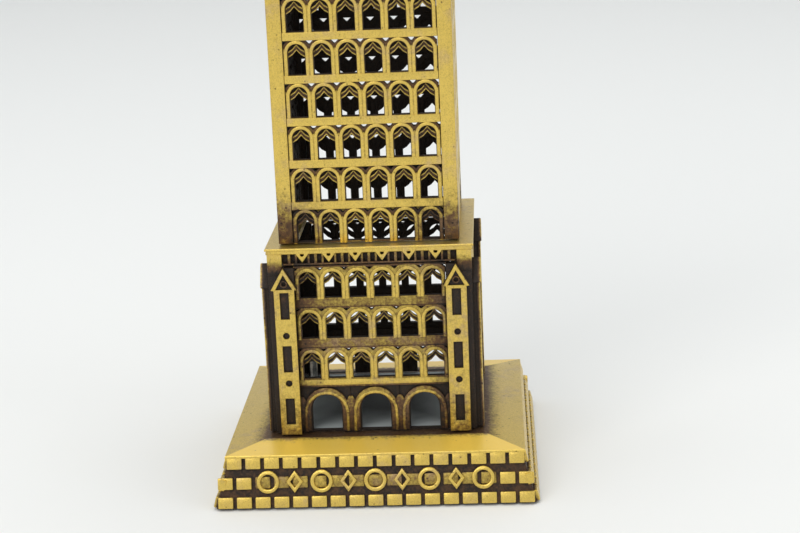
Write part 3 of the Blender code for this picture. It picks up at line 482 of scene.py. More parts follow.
def ring_points(radius, x=0.0, z=0.0, steps=2 * ARC_STEPS):
    angles = [2 * math.pi * i / steps for i in range(steps)]
    return [(x + radius * math.cos(a), z + radius * math.sin(a)) for a in angles]


def arch(half, sill, crown, x=0.0):
    """An opening with a round head."""
    spring = crown - half
    angles = [math.pi * i / ARC_STEPS for i in range(ARC_STEPS + 1)]
    head = [(x + half * math.cos(a), spring + half * math.sin(a)) for a in angles]
    return [(x - half, sill), (x + half, sill), *head]


def arch_band(half, width, sill, crown, x=0.0):
    """The moulding round an arched opening, open at the sill."""
    spring = crown - half
    angles = [math.pi * i / ARC_STEPS for i in range(ARC_STEPS + 1)]
    outer = half + width
    outside = [(x + outer * math.cos(a), spring + outer * math.sin(a)) for a in angles]
    inside = [(x + half * math.cos(a), spring + half * math.sin(a)) for a in reversed(angles)]
    return [(x + outer, sill), *outside, (x - outer, sill), (x - half, sill), *inside, (x + half, sill)]


def window_tile(outer, sill, spring, top, pitch):
    """A window's share of its wall: as wide as the pitch, with shoulders of the outer radius round its head.

    Where two shoulders meet they leave a three-cornered opening under the band at top.
    """
    start = math.acos((pitch / 2 - 0.1) / outer)
    end = math.asin(min(1.0, (top + 0.15 - spring) / outer))
    angles = [start + (end - start) * i / ARC_STEPS for i in range(ARC_STEPS + 1)]
    right = [(outer * math.cos(a), spring + outer * math.sin(a)) for a in angles]
    edge = pitch / 2 + 0.03  # overlaps the next tile
    right = [(edge, sill), (edge, right[0][1]), *right[1:]]
    return [*right, *[(-x, z) for x, z in reversed(right)]]


def spread(count, pitch):
    """Evenly spaced places, centred on zero."""
    return [(i - (count - 1) / 2) * pitch for i in range(count)]


def chevron(half, foot, apex, thickness):
    """A pointed bar across a window head, which swings in towards its apex."""
    top = [(-half, foot), (-0.42 * half, foot + 0.42 * (apex - foot)), (0.0, apex)]
    top += [(-x, z) for x, z in reversed(top[:-1])]
    return [*top, *[(x, z - thickness) for x, z in reversed(top)]]


# ---------------------------------------------------------------- pieces


def piece(name, mesh, finish, stands_for=()):
    """Puts a mesh, drawn in millimetres, on the tower."""
    mesh.transform(Matrix.Scale(MM, 4))
    mesh.materials.clear()
    mesh.materials.append(finish)
    mesh.shade_smooth()
    mesh.set_sharp_from_angle(angle=SMOOTH_BELOW)
    obj = linked(name, mesh)
    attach(obj, "root")
    if stands_for:
        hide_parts(*stands_for)
    return obj


def pieces_on_four_sides(stem, mesh, finish, node_stem=""):
    """A piece drawn on the front, once on each side, in place of that side's solid if a stem names it."""
    for step, side in enumerate(SIDES):
        node = (f"{node_stem}_{side}",) if node_stem else ()
        turn = Matrix.Rotation(step * QUARTER, 4, "Z")
        piece(f"{stem}_{side}", moved(mesh, turn), finish, node)


# Sizes in millimetres, read from the solids where the solids have them
WALL_FRONT = low("shaft_wall_front").y
DECK_FOOT = low("block_wall_front").z
BLOCK_TOP = high("block_wall_front").z
SHAFT_FOOT = BLOCK_TOP + 0.3
SHAFT_TOP = low("corbel").z - 0.3
BLOCK_FRONT = WALL_FRONT - 1.85
BUTTRESS_FRONT = BLOCK_FRONT - 1.2
WINDOW_PITCH = 3.955
ROW_PITCH = 6.68
WINDOW_HALF = 1.385
WINDOW_HEIGHT = 4.87
MOULDING = 0.56
BASE_HALF = high("base_skirt").x
BASE_RIM_HALF = 23.65
BASE_RIM_Z = 8.3
BRICK_PITCH = 2.975
BRICK_LENGTH = 2.42
BRICK_DEPTH = 1.1
BRICK_EDGE = 0.2
BRICK_HEIGHT = 1.8
LOW_BRICK_HEIGHT = 1.7
COURSE_FEET = (0.25, 3.13, 6.2)
DECK_HALF = -BUTTRESS_FRONT + 0.4
DECK_Z = high("base_skirt").z
BASE_LEAN = math.atan((BASE_HALF - BASE_RIM_HALF) / BASE_RIM_Z)

SHOWN_HOUR, SHOWN_MINUTE = 10, 10
ARRAY_TREE = new_array_tree()

# The bright gold painted on the deck's lit slopes, as painted light.
LIT_SLOPE_GOLD = (0.98, 0.66, 0.09)
BRASS = cast_brass(
    "antique brass",
    bright=(0.74, 0.53, 0.105),
    worn=(0.58, 0.41, 0.25),
    brown=(0.125, 0.062, 0.024),
    dark=(0.012, 0.0078, 0.005),
)
OLD_BRASS = cast_brass(
    "darker antique brass",
    bright=(0.7, 0.5, 0.12),
    worn=(0.55, 0.4, 0.25),
    brown=(0.115, 0.065, 0.026),
    dark=(0.011, 0.0078, 0.005),
    patina=0.3,
)
DIAL_BRASS = cast_brass(
    "worn dial brass",
    bright=(0.7, 0.55, 0.24),
    worn=(0.6, 0.48, 0.34),
    brown=(0.15, 0.09, 0.04),
    dark=(0.02, 0.013, 0.008),
)
BARE_METAL = bare_metal("bare casting metal", (0.52, 0.57, 0.57))
FELT = felt("dark green felt", (0.012, 0.045, 0.022))
STEEL = steel("plated screw steel", (0.5, 0.49, 0.46))


def base_half(z):
    """Half the base's width over its bricks, at height z."""
    return BASE_HALF + (BASE_RIM_HALF - BASE_HALF) * z / BASE_RIM_Z


def base_depth(place):
    """How deep the patina is: by the distance behind the bricks' faces and, on the deck, painted shade near
    the block's foot.
    """
    reach = max(abs(place.x), abs(place.y))
    if place.z < BASE_RIM_Z - 0.25:
        return 0.84 * (base_half(place.z) - reach)
    # Painted shade on the deck, darkest at the block's foot and fading towards the rim.
    return 0.36 - 0.16 * max(0.0, reach - DECK_HALF)


def course(columns, z, tall, behind=0.0):
    """Bricks of the front side at these places along X, laid on its slope and set back by a distance."""
    middle = z + tall / 2
    brick = soft_box(BRICK_LENGTH, BRICK_DEPTH, tall / math.cos(BASE_LEAN), BRICK_EDGE)
    row = arrayed(brick, len(columns), 1, BRICK_PITCH)
    row.transform(Matrix.Rotation(-BASE_LEAN, 4, "X"))
    y = behind - base_half(middle) + BRICK_DEPTH / 2 * math.cos(BASE_LEAN)
    return shifted(row, x=sum(columns) / len(columns), y=y, z=middle)


def bricks(decorated=False):
    """The three courses of a side. On the front the middle one is set back under the ornament."""
    bottom, centre, top = COURSE_FEET
    whole = spread(17, BRICK_PITCH)
    ends = (whole[:2], whole[-2:]) if decorated else (whole,)
    made = [course(whole, bottom, LOW_BRICK_HEIGHT), course(spread(16, BRICK_PITCH), top, BRICK_HEIGHT)]
    made += [course(columns, centre, BRICK_HEIGHT) for columns in ends]
    if decorated:
        made.append(course(whole[2:-2], centre, BRICK_HEIGHT, behind=0.3))
    return gathered(made)


def ornament_band():
    """A generic band of rings and lozenges over the middle course of the front."""
    pitch, half_height, stroke, thick = 4.25, 1.8, 0.62, 1.0
    ring = plate([ring_points(half_height), ring_points(half_height - stroke)], -thick / 2, thick, 0.2)
    lozenge = [(0.0, half_height), (-1.35, 0.0), (0.0, -half_height), (1.35, 0.0)]
    inner = [(0.5 * x, 0.5 * z) for x, z in lozenge]
    diamond = plate([lozenge, inner], -thick / 2, thick, 0.2)
    row = gathered([arrayed(ring, 5, 1, 2 * pitch), arrayed(diamond, 4, 1, 2 * pitch)])
    row.transform(Matrix.Rotation(-BASE_LEAN, 4, "X"))
    middle, sunk = 4.25, 0.28
    return shifted(row, y=-base_half(middle) + sunk, z=middle)


def base_profile():
    """The base's section as (half width, Z): its deck, rim, mortar bed, and the hollow under it."""
    mortar = 0.58  # how far it lies behind the bricks
    wall, bed_z, rim_low = 2.0, 0.2, 8.02
    pad_wall, pad_top, ceiling = 1.3, 1.5, 7.6
    deck_edge = BASE_RIM_HALF + 0.02
    fall = (DECK_Z - BASE_RIM_Z - 0.15) / (deck_edge - DECK_HALF)
    hip = [(DECK_HALF + x, DECK_Z - 0.03 - fall * x) for x in (0.0, 1.2, 2.6)]
    return [
        (0.02, DECK_Z),
        (DECK_HALF - 0.5, DECK_Z),
        *hip,
        (deck_edge, BASE_RIM_Z + 0.12),
        (BASE_RIM_HALF + 0.12, BASE_RIM_Z),
        (base_half(rim_low) + 0.05, rim_low),
        (base_half(rim_low) - mortar, rim_low - 0.1),
        (base_half(bed_z) - mortar, bed_z),
        (base_half(bed_z) - pad_wall, bed_z),
        (base_half(pad_top) - pad_wall, pad_top),
        (base_half(pad_top) - wall, pad_top),
        (base_half(ceiling) - wall, ceiling),
        (0.02, ceiling),
    ]


def build_base():
    """The hollow base casting with its bricks, and the bare floor that shows through the gates."""
    turns = [Matrix.Rotation(step * QUARTER, 4, "Z") for step in range(4)]
    front, plain = bricks(decorated=True), bricks()
    skirt = [four_sided(base_profile()), ornament_band(), front, *[moved(plain, turn) for turn in turns[1:]]]
    mesh = with_relief(gathered(skirt), base_depth)
    # Painted light: faces that tilt up to the front or back are marked, so the finish paints them bright gold
    # and matt as lit by the lamps.
    lit_slope = mesh.attributes.new("lit_slope", "FLOAT", "FACE")
    for item, face in zip(lit_slope.data, mesh.polygons):
        item.value = 1.0 if face.normal.z > 0.9 and abs(face.normal.y) > 0.1 else 0.0
    piece("base_casting", mesh, BRASS, stands_for=("base_skirt",))
    inside, thickness = -BLOCK_FRONT - 1.7, 0.16
    floor = plate([rectangle(-inside, -inside, inside, inside)], 0.0, thickness, 0.04)
    floor.transform(Matrix.Rotation(-QUARTER, 4, "X"))
    piece("inside_floor", shifted(floor, z=DECK_Z + thickness), BARE_METAL)


def window_unit(half, moulding, sill, crown, front, lines, closed_head=False):
    """One window's rounded moulding, and the pointed tracery set back in its head."""
    spring = crown - half
    parts = [plate([arch_band(half, moulding, sill - 0.15, crown)], front, 0.8, 0.17)]
    broad = chevron(half + 0.15, crown - 1.35, crown - 0.15, 0.95)
    if closed_head:
        under = broad[len(broad) // 2:]
        head = arch(half + 0.1, spring, crown + 0.1)[2:]
        parts.append(plate([[*head, *reversed(under)]], front + 0.95, 0.4, 0.06, front))
    parts.append(plate([broad], front + 0.85, 0.4, 0.08, front + 0.42))
    parts += [plate([chevron(half + 0.15, foot, apex, 0.24)], front + 0.62, 0.4, 0.09, front + 0.5)
              for foot, apex in lines]
    return gathered(parts)


def half_piers(half, pitch, sill, spring, front, face):
    """The halves of the piers beside a window, which meet those of its neighbours."""
    inner, outer = half + 0.25, pitch / 2 + 0.02
    loop = [(inner, sill), (outer, sill), (outer, spring + 0.8), (inner, spring + 0.1)]
    mirrored = [(-x, z) for x, z in reversed(loop)]
    return [plate([outline], front, 0.9, 0.08, face) for outline in (loop, mirrored)]


def tracery_lines(crown):
    """Foot and apex heights of the two fine bars of a window's tracery."""
    return [(crown - 1.35, crown - 0.12), (crown - 2.05, crown - 0.82)]


def build_shaft():
    """Six columns of windows on each side, with bands between the rows and plain corner strips."""
    front, columns = WALL_FRONT, 6
    first_crown = SHAFT_FOOT + 4.9
    rows = round((SHAFT_TOP - first_crown) / ROW_PITCH) + 1
    sill, spring = first_crown - WINDOW_HEIGHT, first_crown - WINDOW_HALF
    band_foot, band_top = first_crown + MOULDING, first_crown - WINDOW_HEIGHT + ROW_PITCH
    reach = columns * WINDOW_PITCH / 2
    tile = window_tile(WINDOW_HALF + 0.865, sill - 0.1, spring, band_foot, WINDOW_PITCH)
    opening = arch(WINDOW_HALF - 0.07, sill + 0.05, first_crown - 0.07)
    lines = tracery_lines(first_crown)
    unit = window_unit(WINDOW_HALF, MOULDING, sill, first_crown, front + 0.04, lines, closed_head=True)
    piers = half_piers(WINDOW_HALF, WINDOW_PITCH, sill - 0.1, spring, front + 0.14, front + 0.02)
    unit = gathered([unit, *piers, plate([tile, opening], front + 0.38, 1.15, 0.06, front)])
    windows = arrayed(unit, columns, rows, WINDOW_PITCH, ROW_PITCH)
    band = plate([rectangle(-reach - 0.1, band_foot - 0.06, reach + 0.1, band_top)], front, 1.35, 0.14)
    bands = arrayed(band, 1, rows, 0.0, ROW_PITCH)
    strips = []
    corner = -front - 0.05
    for side in (-1, 1):
        xs = sorted((side * (reach + 0.12), side * corner))
        strips.append(plate([rectangle(xs[0], SHAFT_FOOT, xs[1], SHAFT_TOP)], front, 1.5, 0.14))
    foot_line = rectangle(-reach - 0.3, SHAFT_FOOT, reach + 0.3, SHAFT_FOOT + 0.2)
    groove = plate([foot_line], front + 0.3, 1.2, 0.03, front)
    panel = gathered([windows, bands, *strips, groove])
    pieces_on_four_sides("shaft_face", panel, BRASS, node_stem="shaft_wall")


def build_buttress(x):
    """A buttress with its sunk panels and round sinkings, and its gabled head."""
    half, front = 1.65, BUTTRESS_FRONT
    eaves, apex = DECK_FOOT + 24.1, DECK_FOOT + 27.7
    panel_half, panel_height = 0.7, 4.32
    panel_feet = [DECK_FOOT + lift for lift in (1.8, 10.56, 19.32)]
    sinkings = [rectangle(x - panel_half, z, x + panel_half, z + panel_height) for z in panel_feet]
    sinkings += [ring_points(0.52, x, DECK_FOOT + lift, 16) for lift in (8.66, 16.57)]
    shaft = plate([rectangle(x - half, DECK_FOOT, x + half, eaves + 0.1), *sinkings], front, 0.62, 0.12)
    inside = rectangle(x - half + 0.1, DECK_FOOT + 0.05, x + half - 0.1, eaves)
    core = plate([inside], front + 0.5, 1.2, 0.05, front)
    head_half, rib = 2.1, 0.66
    slope = (apex - eaves) / head_half
    ribs = [(x - head_half, eaves), (x, apex), (x + head_half, eaves), (x + head_half - rib, eaves - 0.1)]
    ribs += [(x, apex - rib * slope), (x - head_half + rib, eaves - 0.1)]
    head = plate([ribs], front - 0.2, 1.5, 0.15)
    inner = [(x - 1.6, eaves - 0.05), (x + 1.6, eaves - 0.05), (x, apex - 0.6)]
    field = plate([inner, ring_points(0.4, x, eaves + 0.95, 16)], front + 0.3, 0.6, 0.08, front - 0.22)
    behind = plate([inner], front + 0.6, 1.1, 0.05, front - 0.1)
    eye = [ring_points(radius, x, eaves + 0.95, 16) for radius in (0.62, 0.36)]
    eye = plate(eye, front + 0.12, 0.5, 0.1, front - 0.2)
    rail = plate([rectangle(x - half, eaves - 0.2, x + half, eaves + 0.1)], front - 0.04, 0.8, 0.1)
    return [shaft, core, head, field, behind, eye, rail]


def frieze(front):
    """Upright bars and pierced lozenges on a sunk band under the cornice."""
    pitch, reach = 4.21, 13.6
    low_z, high_z = BLOCK_TOP - 2.5, BLOCK_TOP - 1.0
    bars = [rectangle(x - w / 2, low_z - 0.1, x + w / 2, high_z + 0.1)
            for x, w in ((-1.0, 0.34), (1.0, 0.34), (0.0, 0.44))]
    bars = [plate([bar], front + 0.12, 1.0, 0.07, front - 0.14) for bar in bars]
    posts = arrayed(bars.pop(), 7, 1, pitch)
    head, shoulder, tip, eye = (BLOCK_TOP - drop for drop in (0.25, 0.6, 2.35, 1.05))
    diamond = [(-1.35, head), (-1.25, shoulder), (0.0, tip), (1.25, shoulder), (1.35, head)]
    lozenge = plate([diamond, ring_points(0.3, 0.0, eye, 10)], front - 0.2, 0.8, 0.12)
    units = arrayed(gathered([*bars, lozenge]), 6, 1, pitch)
    rail = plate([rectangle(-reach, low_z - 0.3, reach, low_z)], front + 0.1, 1.0, 0.08, front - 0.2)
    ground = rectangle(-reach - 0.3, low_z - 0.05, reach + 0.3, high_z + 0.6)
    ground = plate([ground], front + 0.75, 0.6, 0.05, front)
    return [units, posts, rail, ground]


def block_windows(front):
    """Three rows of six windows, with a band above each row but the last."""
    columns, rows = 6, 3
    first_crown = DECK_FOOT + 13.3
    half, height, moulding, pitch = 1.425, 4.4, 0.58, 3.96
    sill, spring = first_crown - height, first_crown - half
    reach = columns * pitch / 2
    band_foot, band_top = first_crown + moulding, sill + ROW_PITCH
    unit = window_unit(half, moulding, sill, first_crown, front, tracery_lines(first_crown))
    tile = window_tile(half + 1.04, sill - 0.1, spring, band_foot, pitch)
    opening = arch(half - 0.07, sill + 0.05, first_crown - 0.07)
    piers = half_piers(half, pitch, sill - 0.1, spring, front + 0.14, front)
    unit = gathered([unit, *piers, plate([tile, opening], front + 0.2, 1.1, 0.06, front + 0.06)])
    windows = arrayed(unit, columns, rows, pitch, ROW_PITCH)
    band = rectangle(-reach - 0.2, band_foot + 0.3, reach + 0.2, band_top)
    band = plate([band], front + 0.18, 1.2, 0.12, front - 0.02)
    lip = rectangle(-reach - 0.2, band_foot - 0.03, reach + 0.2, band_foot + 0.34)
    lip = plate([lip], front + 0.3, 1.0, 0.08, front)
    bands = arrayed(gathered([band, lip]), 1, rows - 1, 0.0, ROW_PITCH)
    return [windows, bands, shifted(lip, z=(rows - 1) * ROW_PITCH)]


def block_gates(front):
    """Three gates with piers between them, under a string course."""
    half, pitch, crown, moulding = 2.5, 7.9, DECK_FOOT + 6.3, 1.1
    string_half, string_foot, string_top = 12.1, DECK_FOOT + 7.8, DECK_FOOT + 8.84
    broad = arch_band(half, moulding, DECK_FOOT, crown)
    outer_rim = arch_band(half + 0.62, moulding - 0.62, DECK_FOOT, crown)
    inner_rim = arch_band(half - 0.14, 0.4, DECK_FOOT, crown - 0.14)
    field = [rectangle(-pitch / 2 - 0.1, DECK_FOOT, pitch / 2 + 0.1, string_foot + 0.2)]
    field.append(arch(half - 0.1, DECK_FOOT + 0.1, crown - 0.1))
    gate = gathered([
        plate([broad], front + 0.1, 0.8, 0.2, front - 0.06),
        plate([outer_rim], front, 0.8, 0.12),
        plate([inner_rim], front + 0.62, 0.9, 0.12, front + 0.3),
        plate(field, front + 0.62, 0.95, 0.06, front),
    ])
    spring = crown - half
    pier_half, tip_half, tip = 1.4, 0.3, spring + 2.1
    pier = [(-pier_half, DECK_FOOT), (pier_half, DECK_FOOT), (pier_half, spring), (tip_half, tip)]
    pier += [(-tip_half, tip), (-pier_half, spring)]
    pier = plate([pier], front + 0.24, 0.9, 0.1, front + 0.06)
    string = plate([rectangle(-string_half, string_foot, string_half, string_top)], front, 1.3, 0.2)
    lip = rectangle(-string_half, string_foot - 0.3, string_half, string_foot + 0.1)
    lip = plate([lip], front + 0.25, 1.0, 0.08, front)
    return [arrayed(gate, 3, 1, pitch), arrayed(pier, 4, 1, pitch), string, lip]


def block_corners(front):
    """The plain strips at a wall's two ends, their shoulders under the cornice, and the buttresses."""
    corner = -front - 0.05
    made = []
    for side in (-1, 1):
        xs = sorted((side * 12.0, side * corner))
        strip = rectangle(xs[0], DECK_FOOT, xs[1], BLOCK_TOP - 3.2)
        # Relief counted from in front of the strip paints it darker, as painted shade beside the buttress.
        made.append(plate([strip], front, 1.5, 0.14, front - 0.5))
        xs = sorted((side * 13.8, side * corner))
        shoulder = plate([rectangle(xs[0], BLOCK_TOP - 4.6, xs[1], BLOCK_TOP - 0.7)], front - 0.02, 1.4, 0.12)
        # Painted shade: the shoulder darkens towards its foot, beside the buttress's head.
        shoulder = divided(shoulder, 6)
        made.append(with_relief(shoulder, lambda place: 0.2 * (BLOCK_TOP - 1.6 - place.z)))
        made += build_buttress(side * 13.6)
    return made


def build_lower_block():
    """Three rows of windows over three gates on each side, with gabled buttresses and a frieze."""
    front = BLOCK_FRONT
    parts = [*block_windows(front), *block_gates(front), *block_corners(front), *frieze(front)]
    pieces_on_four_sides("block_face", gathered(parts), BRASS, node_stem="block_wall")


def build_cornice():
    """The moulding round the head of the lower block."""
    outer, inner = -BLOCK_FRONT + 0.32, -WALL_FRONT - 2.4
    low_z = BLOCK_TOP - 1.0
    profile = [
        (inner, BLOCK_TOP),
        (outer - 0.12, BLOCK_TOP),
        (outer, BLOCK_TOP - 0.12),
        (outer, BLOCK_TOP - 0.3),
        (outer - 0.22, BLOCK_TOP - 0.4),
        (outer - 0.18, low_z + 0.12),
        (outer - 0.32, low_z),
        (inner, low_z),
    ]
    piece("block_cornice", four_sided(profile), BRASS)


def finish_node(name, finish):
    """Gives a solid that keeps its shape its finish."""
    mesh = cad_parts[name].data
    mesh.materials.clear()
    mesh.materials.append(finish)


def ring_plate(outer, inner, centre, front, depth, edge, steps=48):
    """A flat ring round the dial's centre."""
    return plate([ring_points(radius, 0.0, centre, steps) for radius in (outer, inner)], front, depth, edge)


def clock_trim(front, low_z, high_z, centre):
    """Rings round the dial, and the rosettes, rails, lancets and posts of its square."""
    rings = [
        ring_plate(8.75, 7.85, centre, front - 0.35, 0.9, 0.26),
        ring_plate(9.25, 8.95, centre, front - 0.18, 0.5, 0.12),
    ]
    rosette_x, rosette_z = 11.2, 7.2
    rosettes = []
    for x in (-rosette_x, rosette_x):
        for z in (centre - rosette_z, centre + rosette_z):
            loops = [ring_points(1.15, x, z, 20), ring_points(0.62, x, z, 16)]
            rosettes.append(plate(loops, front - 0.3, 0.7, 0.16))
            rosettes.append(plate([ring_points(0.3, x, z, 10)], front - 0.3, 0.7, 0.1))
    rails = [rectangle(-13.4, z, 13.4, z + 0.34) for z in (low_z + 2.75, high_z - 3.1)]
    rails = [plate([rail], front - 0.3, 0.6, 0.1) for rail in rails]
    lancet = plate([arch_band(0.72, 0.3, centre - 5.3, centre - 0.4)], front - 0.26, 0.6, 0.1)
    foot = plate([rectangle(-1.02, centre - 5.4, 1.02, centre - 5.1)], front - 0.26, 0.6, 0.1)
    lancets = arrayed(gathered([lancet, foot]), 2, 2, 23.6, 5.7)
    posts = [rectangle(x - 0.45, low_z + 1.2, x + 0.45, high_z - 1.2) for x in (-13.8, 13.8)]
    posts = [plate([post], front - 0.34, 0.7, 0.18) for post in posts]
    return gathered([*rings, *rosettes, *rails, lancets, *posts])


def clock_hand(turns, length, width, front):
    """A pointed hand, turned clockwise from upright about the origin."""
    tail, taper = 0.9, 0.7 * length
    blade = [(-width / 2, -tail), (width / 2, -tail), (width / 2, taper), (0.0, length), (-width / 2, taper)]
    return moved(plate([blade], front, 0.4, 0.08), Matrix.Rotation(2 * math.pi * turns, 4, "Y"))


def dial_marks(front, hand_front, centre):
    """Two thin rings, twelve hour marks, two hands and their hub."""
    marks = [
        ring_plate(7.3, 7.05, centre, front - 0.12, 0.3, 0.06),
        ring_plate(4.9, 4.7, centre, front - 0.1, 0.3, 0.06, steps=36),
    ]
    for hour in range(12):
        width = 0.62 if hour % 3 == 0 else 0.4
        mark = plate([rectangle(-width / 2, 5.25, width / 2, 6.75)], front - 0.16, 0.35, 0.08)
        turn = Matrix.Rotation(2 * math.pi * hour / 12, 4, "Y")
        marks.append(shifted(moved(mark, turn), z=centre))
    hour_turns, minute_turns = SHOWN_HOUR / 12 + SHOWN_MINUTE / 720, SHOWN_MINUTE / 60
    for turns, length, width in ((hour_turns, 4.4, 0.9), (minute_turns, 7.0, 0.6)):
        marks.append(shifted(clock_hand(turns, length, width, hand_front - 0.02), z=centre))
    marks.append(plate([ring_points(0.85, 0.0, centre, 20)], hand_front - 0.1, 0.5, 0.14))
    return gathered(marks)


def build_clock_stage():
    """The trim over the clock walls, the marks on the dials, and the dentils under the corbel."""
    for side in SIDES:
        finish_node(f"clock_wall_{side}", OLD_BRASS)
        finish_node(f"clock_dial_{side}", OLD_BRASS)
    finish_node("corbel", OLD_BRASS)
    wall_low, wall_high = low("clock_wall_front"), high("clock_wall_front")
    dial_low, dial_high = low("clock_dial_front"), high("clock_dial_front")
    front, centre = wall_low.y + 0.35, (dial_low.z + dial_high.z) / 2
    pieces_on_four_sides("clock_trim", clock_trim(front, wall_low.z, wall_high.z, centre), BRASS)
    face = dial_marks(front + 1.2, dial_low.y, centre)
    pieces_on_four_sides("dial_marks", face, DIAL_BRASS)
    row = arrayed(soft_box(0.9, 0.9, 1.0, 0.16), 17, 1, 1.75)
    dentils = shifted(row, y=WALL_FRONT - 1.1, z=low("corbel").z + 1.75)
    pieces_on_four_sides("corbel_dentils", dentils, BRASS)


def build_gallery():
    """Merlons and leaves on the gallery, and crockets and collars on its pinnacles."""
    finish_node("gallery", OLD_BRASS)
    box_low, box_high = low("gallery"), high("gallery")
    merlon = soft_box(1.5, 1.02, 0.7, 0.14)
    row = arrayed(merlon, 11, 1, 2.9)
    pieces_on_four_sides("parapet_merlons", shifted(row, y=box_low.y + 0.46, z=box_high.z + 0.2), BRASS)
    leaf = soft_box(0.7, 0.5, 0.9, 0.16)
    row = arrayed(leaf, 18, 1, 1.85)
    pieces_on_four_sides("gallery_leaves", shifted(row, y=box_low.y - 0.06, z=box_low.z + 1.5), BRASS)
    for number in range(1, 5):
        finish_node(f"pinnacle_{number}", BRASS)
        start, end = low(f"pinnacle_{number}"), high(f"pinnacle_{number}")
        x, y = (start.x + end.x) / 2, (start.y + end.y) / 2
        foot = start.z + 1.0
        crockets = []
        for i in range(4):
            z = foot + 5.0 + i * 1.45
            size = 0.5 - 0.07 * i
            reach = 0.94 * (1 - (z - foot - 4.6) / 6.4)
            knob = soft_box(size, size, size * 1.2, 0.1)
            for step in range(4):
                turn = Matrix.Rotation(step * QUARTER + math.pi / 4, 4, "Z")
                crockets.append(shifted(moved(shifted(knob, x=reach * 1.3), turn), x, y, z))
        collar_half = (end.x - start.x) / 2 + 0.14
        band = [(0.3, 4.75), (collar_half - 0.3, 4.75), (collar_half, 4.5), (collar_half, 4.15), (0.3, 4.15)]
        collar = four_sided(band)
        piece(f"pinnacle_trim_{number}", gathered([*crockets, shifted(collar, x, y, foot)]), BRASS)


def build_belfry():
    """Arch mouldings and rails round the belfry."""
    finish_node("belfry", OLD_BRASS)
    start, end = low("belfry"), high("belfry")
    sill, crown = start.z + 1.2, start.z + 6.4
    band = plate([arch_band(0.98, 0.34, sill, crown)], start.y - 0.16, 0.6, 0.14)
    arcade = arrayed(band, 7, 1, 3.05)
    rails = [plate([rectangle(start.x, z, end.x, z + 0.34)], start.y - 0.2, 0.6, 0.12)
             for z in (start.z + 0.3, end.z - 1.0)]
    mesh = gathered([arcade, *rails])
    pieces_on_four_sides("belfry_arches", mesh, BRASS)


def sloped_row(unit, columns, pitch, half, z, lean):
    """A row of shapes that lies on a roof's front slope at a height."""
    row = arrayed(unit, columns, 1, pitch)
    row.transform(Matrix.Rotation(-lean, 4, "X"))
    return shifted(row, y=-half, z=z)


def hip_ribs(low_half, low_z, high_half, high_z, radius):
    """Round ribs on a roof's four hips, with closed ends."""
    foot, head = Vector((low_half, low_half, low_z)), Vector((high_half, high_half, high_z))
    along = head - foot
    rib = turned([(0.02, 0.0), (radius, 0.0), (radius * 0.8, along.length), (0.02, along.length)], 10)
    rib.transform(Matrix.Translation(foot) @ along.to_track_quat("Z", "Y").to_matrix().to_4x4())
    return gathered([moved(rib, Matrix.Rotation(step * QUARTER, 4, "Z")) for step in range(4)])


def build_roofs():
    """Tiles, hip ribs and eaves on the lower roof and the spire."""
    finish_node("lower_roof", OLD_BRASS)
    finish_node("spire", OLD_BRASS)
    finish_node("lantern", BRASS)
    roofs = (("lower_roof", 6.2, 9, 1.35, 0.9), ("spire", 1.2, 11, 1.1, 0.6))
    for node, top_half, courses, tile_pitch, lip in roofs:
        start, end = low(node), high(node)
        eaves = start.z + lip + 1.0
        half = end.x
        lean = math.atan((half - top_half) / (end.z - eaves))
        tile = soft_box(tile_pitch * 0.86, 0.34, (end.z - eaves) / courses * 0.9, 0.1)
        rows = []
        for i in range(courses):
            z = eaves + (i + 0.5) * (end.z - eaves) / courses
            here = half + (top_half - half) * (z - eaves) / (end.z - eaves)
            columns = max(1, int((2 * here - 1.0) / tile_pitch))
            rows.append(sloped_row(tile, columns, tile_pitch, here - 0.03, z, lean))
        pieces_on_four_sides(f"{node}_tiles", gathered(rows), BRASS)
        piece(f"{node}_ribs", hip_ribs(half - 0.1, eaves, top_half, end.z, 0.34), BRASS)
        cornice_half = half + 0.12
        profile = [
            (half - 1.0, eaves + 0.05),
            (cornice_half - 0.2, eaves + 0.1),
            (cornice_half, eaves - 0.1),
            (cornice_half, eaves - 0.55),
            (cornice_half - 0.3, eaves - 0.75),
            (half - 1.0, eaves - 0.75),
        ]
        piece(f"{node}_eaves", four_sided(profile), BRASS)


def build_finial():
    """A fine turned ball and spike in place of the faceted ones."""
    start, end = low("finial"), high("finial")
    foot = start.z + 3.9
    collar_top, ball, radius = foot + 0.4, foot + 2.45, 1.25
    angles = [math.radians(71 - 142 * i / 16) for i in range(17)]
    round_part = [(radius * math.cos(a), ball + radius * math.sin(a)) for a in angles]
    profile = [
        (0.012, end.z),
        (0.3, ball + radius + 0.5),
        (0.55, ball + radius + 0.3),
        *round_part,
        (0.4, collar_top + 0.3),
        (0.75, collar_top + 0.1),
        (1.2, collar_top),
        (1.2, foot),
        (0.45, foot),
        (0.45, start.z),
        (0.012, start.z),
    ]
    piece("finial_turned", turned(profile), BRASS, stands_for=("finial",))


def build_underside():
    """The felt pad, and the finish of the screws above it."""
    box_low, box_high = low("foot_pad"), high("foot_pad")
    half, thickness = box_high.x, box_high.z - box_low.z
    corner, steps = 1.5, 6
    outline = []
    for step, (x, y) in enumerate(((1, 1), (-1, 1), (-1, -1), (1, -1))):
        for i in range(steps + 1):
            angle = QUARTER * (step + i / steps)
            centre = half - corner
            outline.append((x * centre + corner * math.cos(angle), y * centre + corner * math.sin(angle)))
    pad = plate([outline], 0.0, thickness, 0.3)
    pad.transform(Matrix.Rotation(-QUARTER, 4, "X"))
    pad = shifted(pad, z=box_low.z + thickness)
    obj = piece("felt_pad", pad, FELT, stands_for=("foot_pad",))
    for number in range(1, 5):
        finish_node(f"base_screw_{number}", STEEL)


# ---------------------------------------------------------------- stage, light and camera


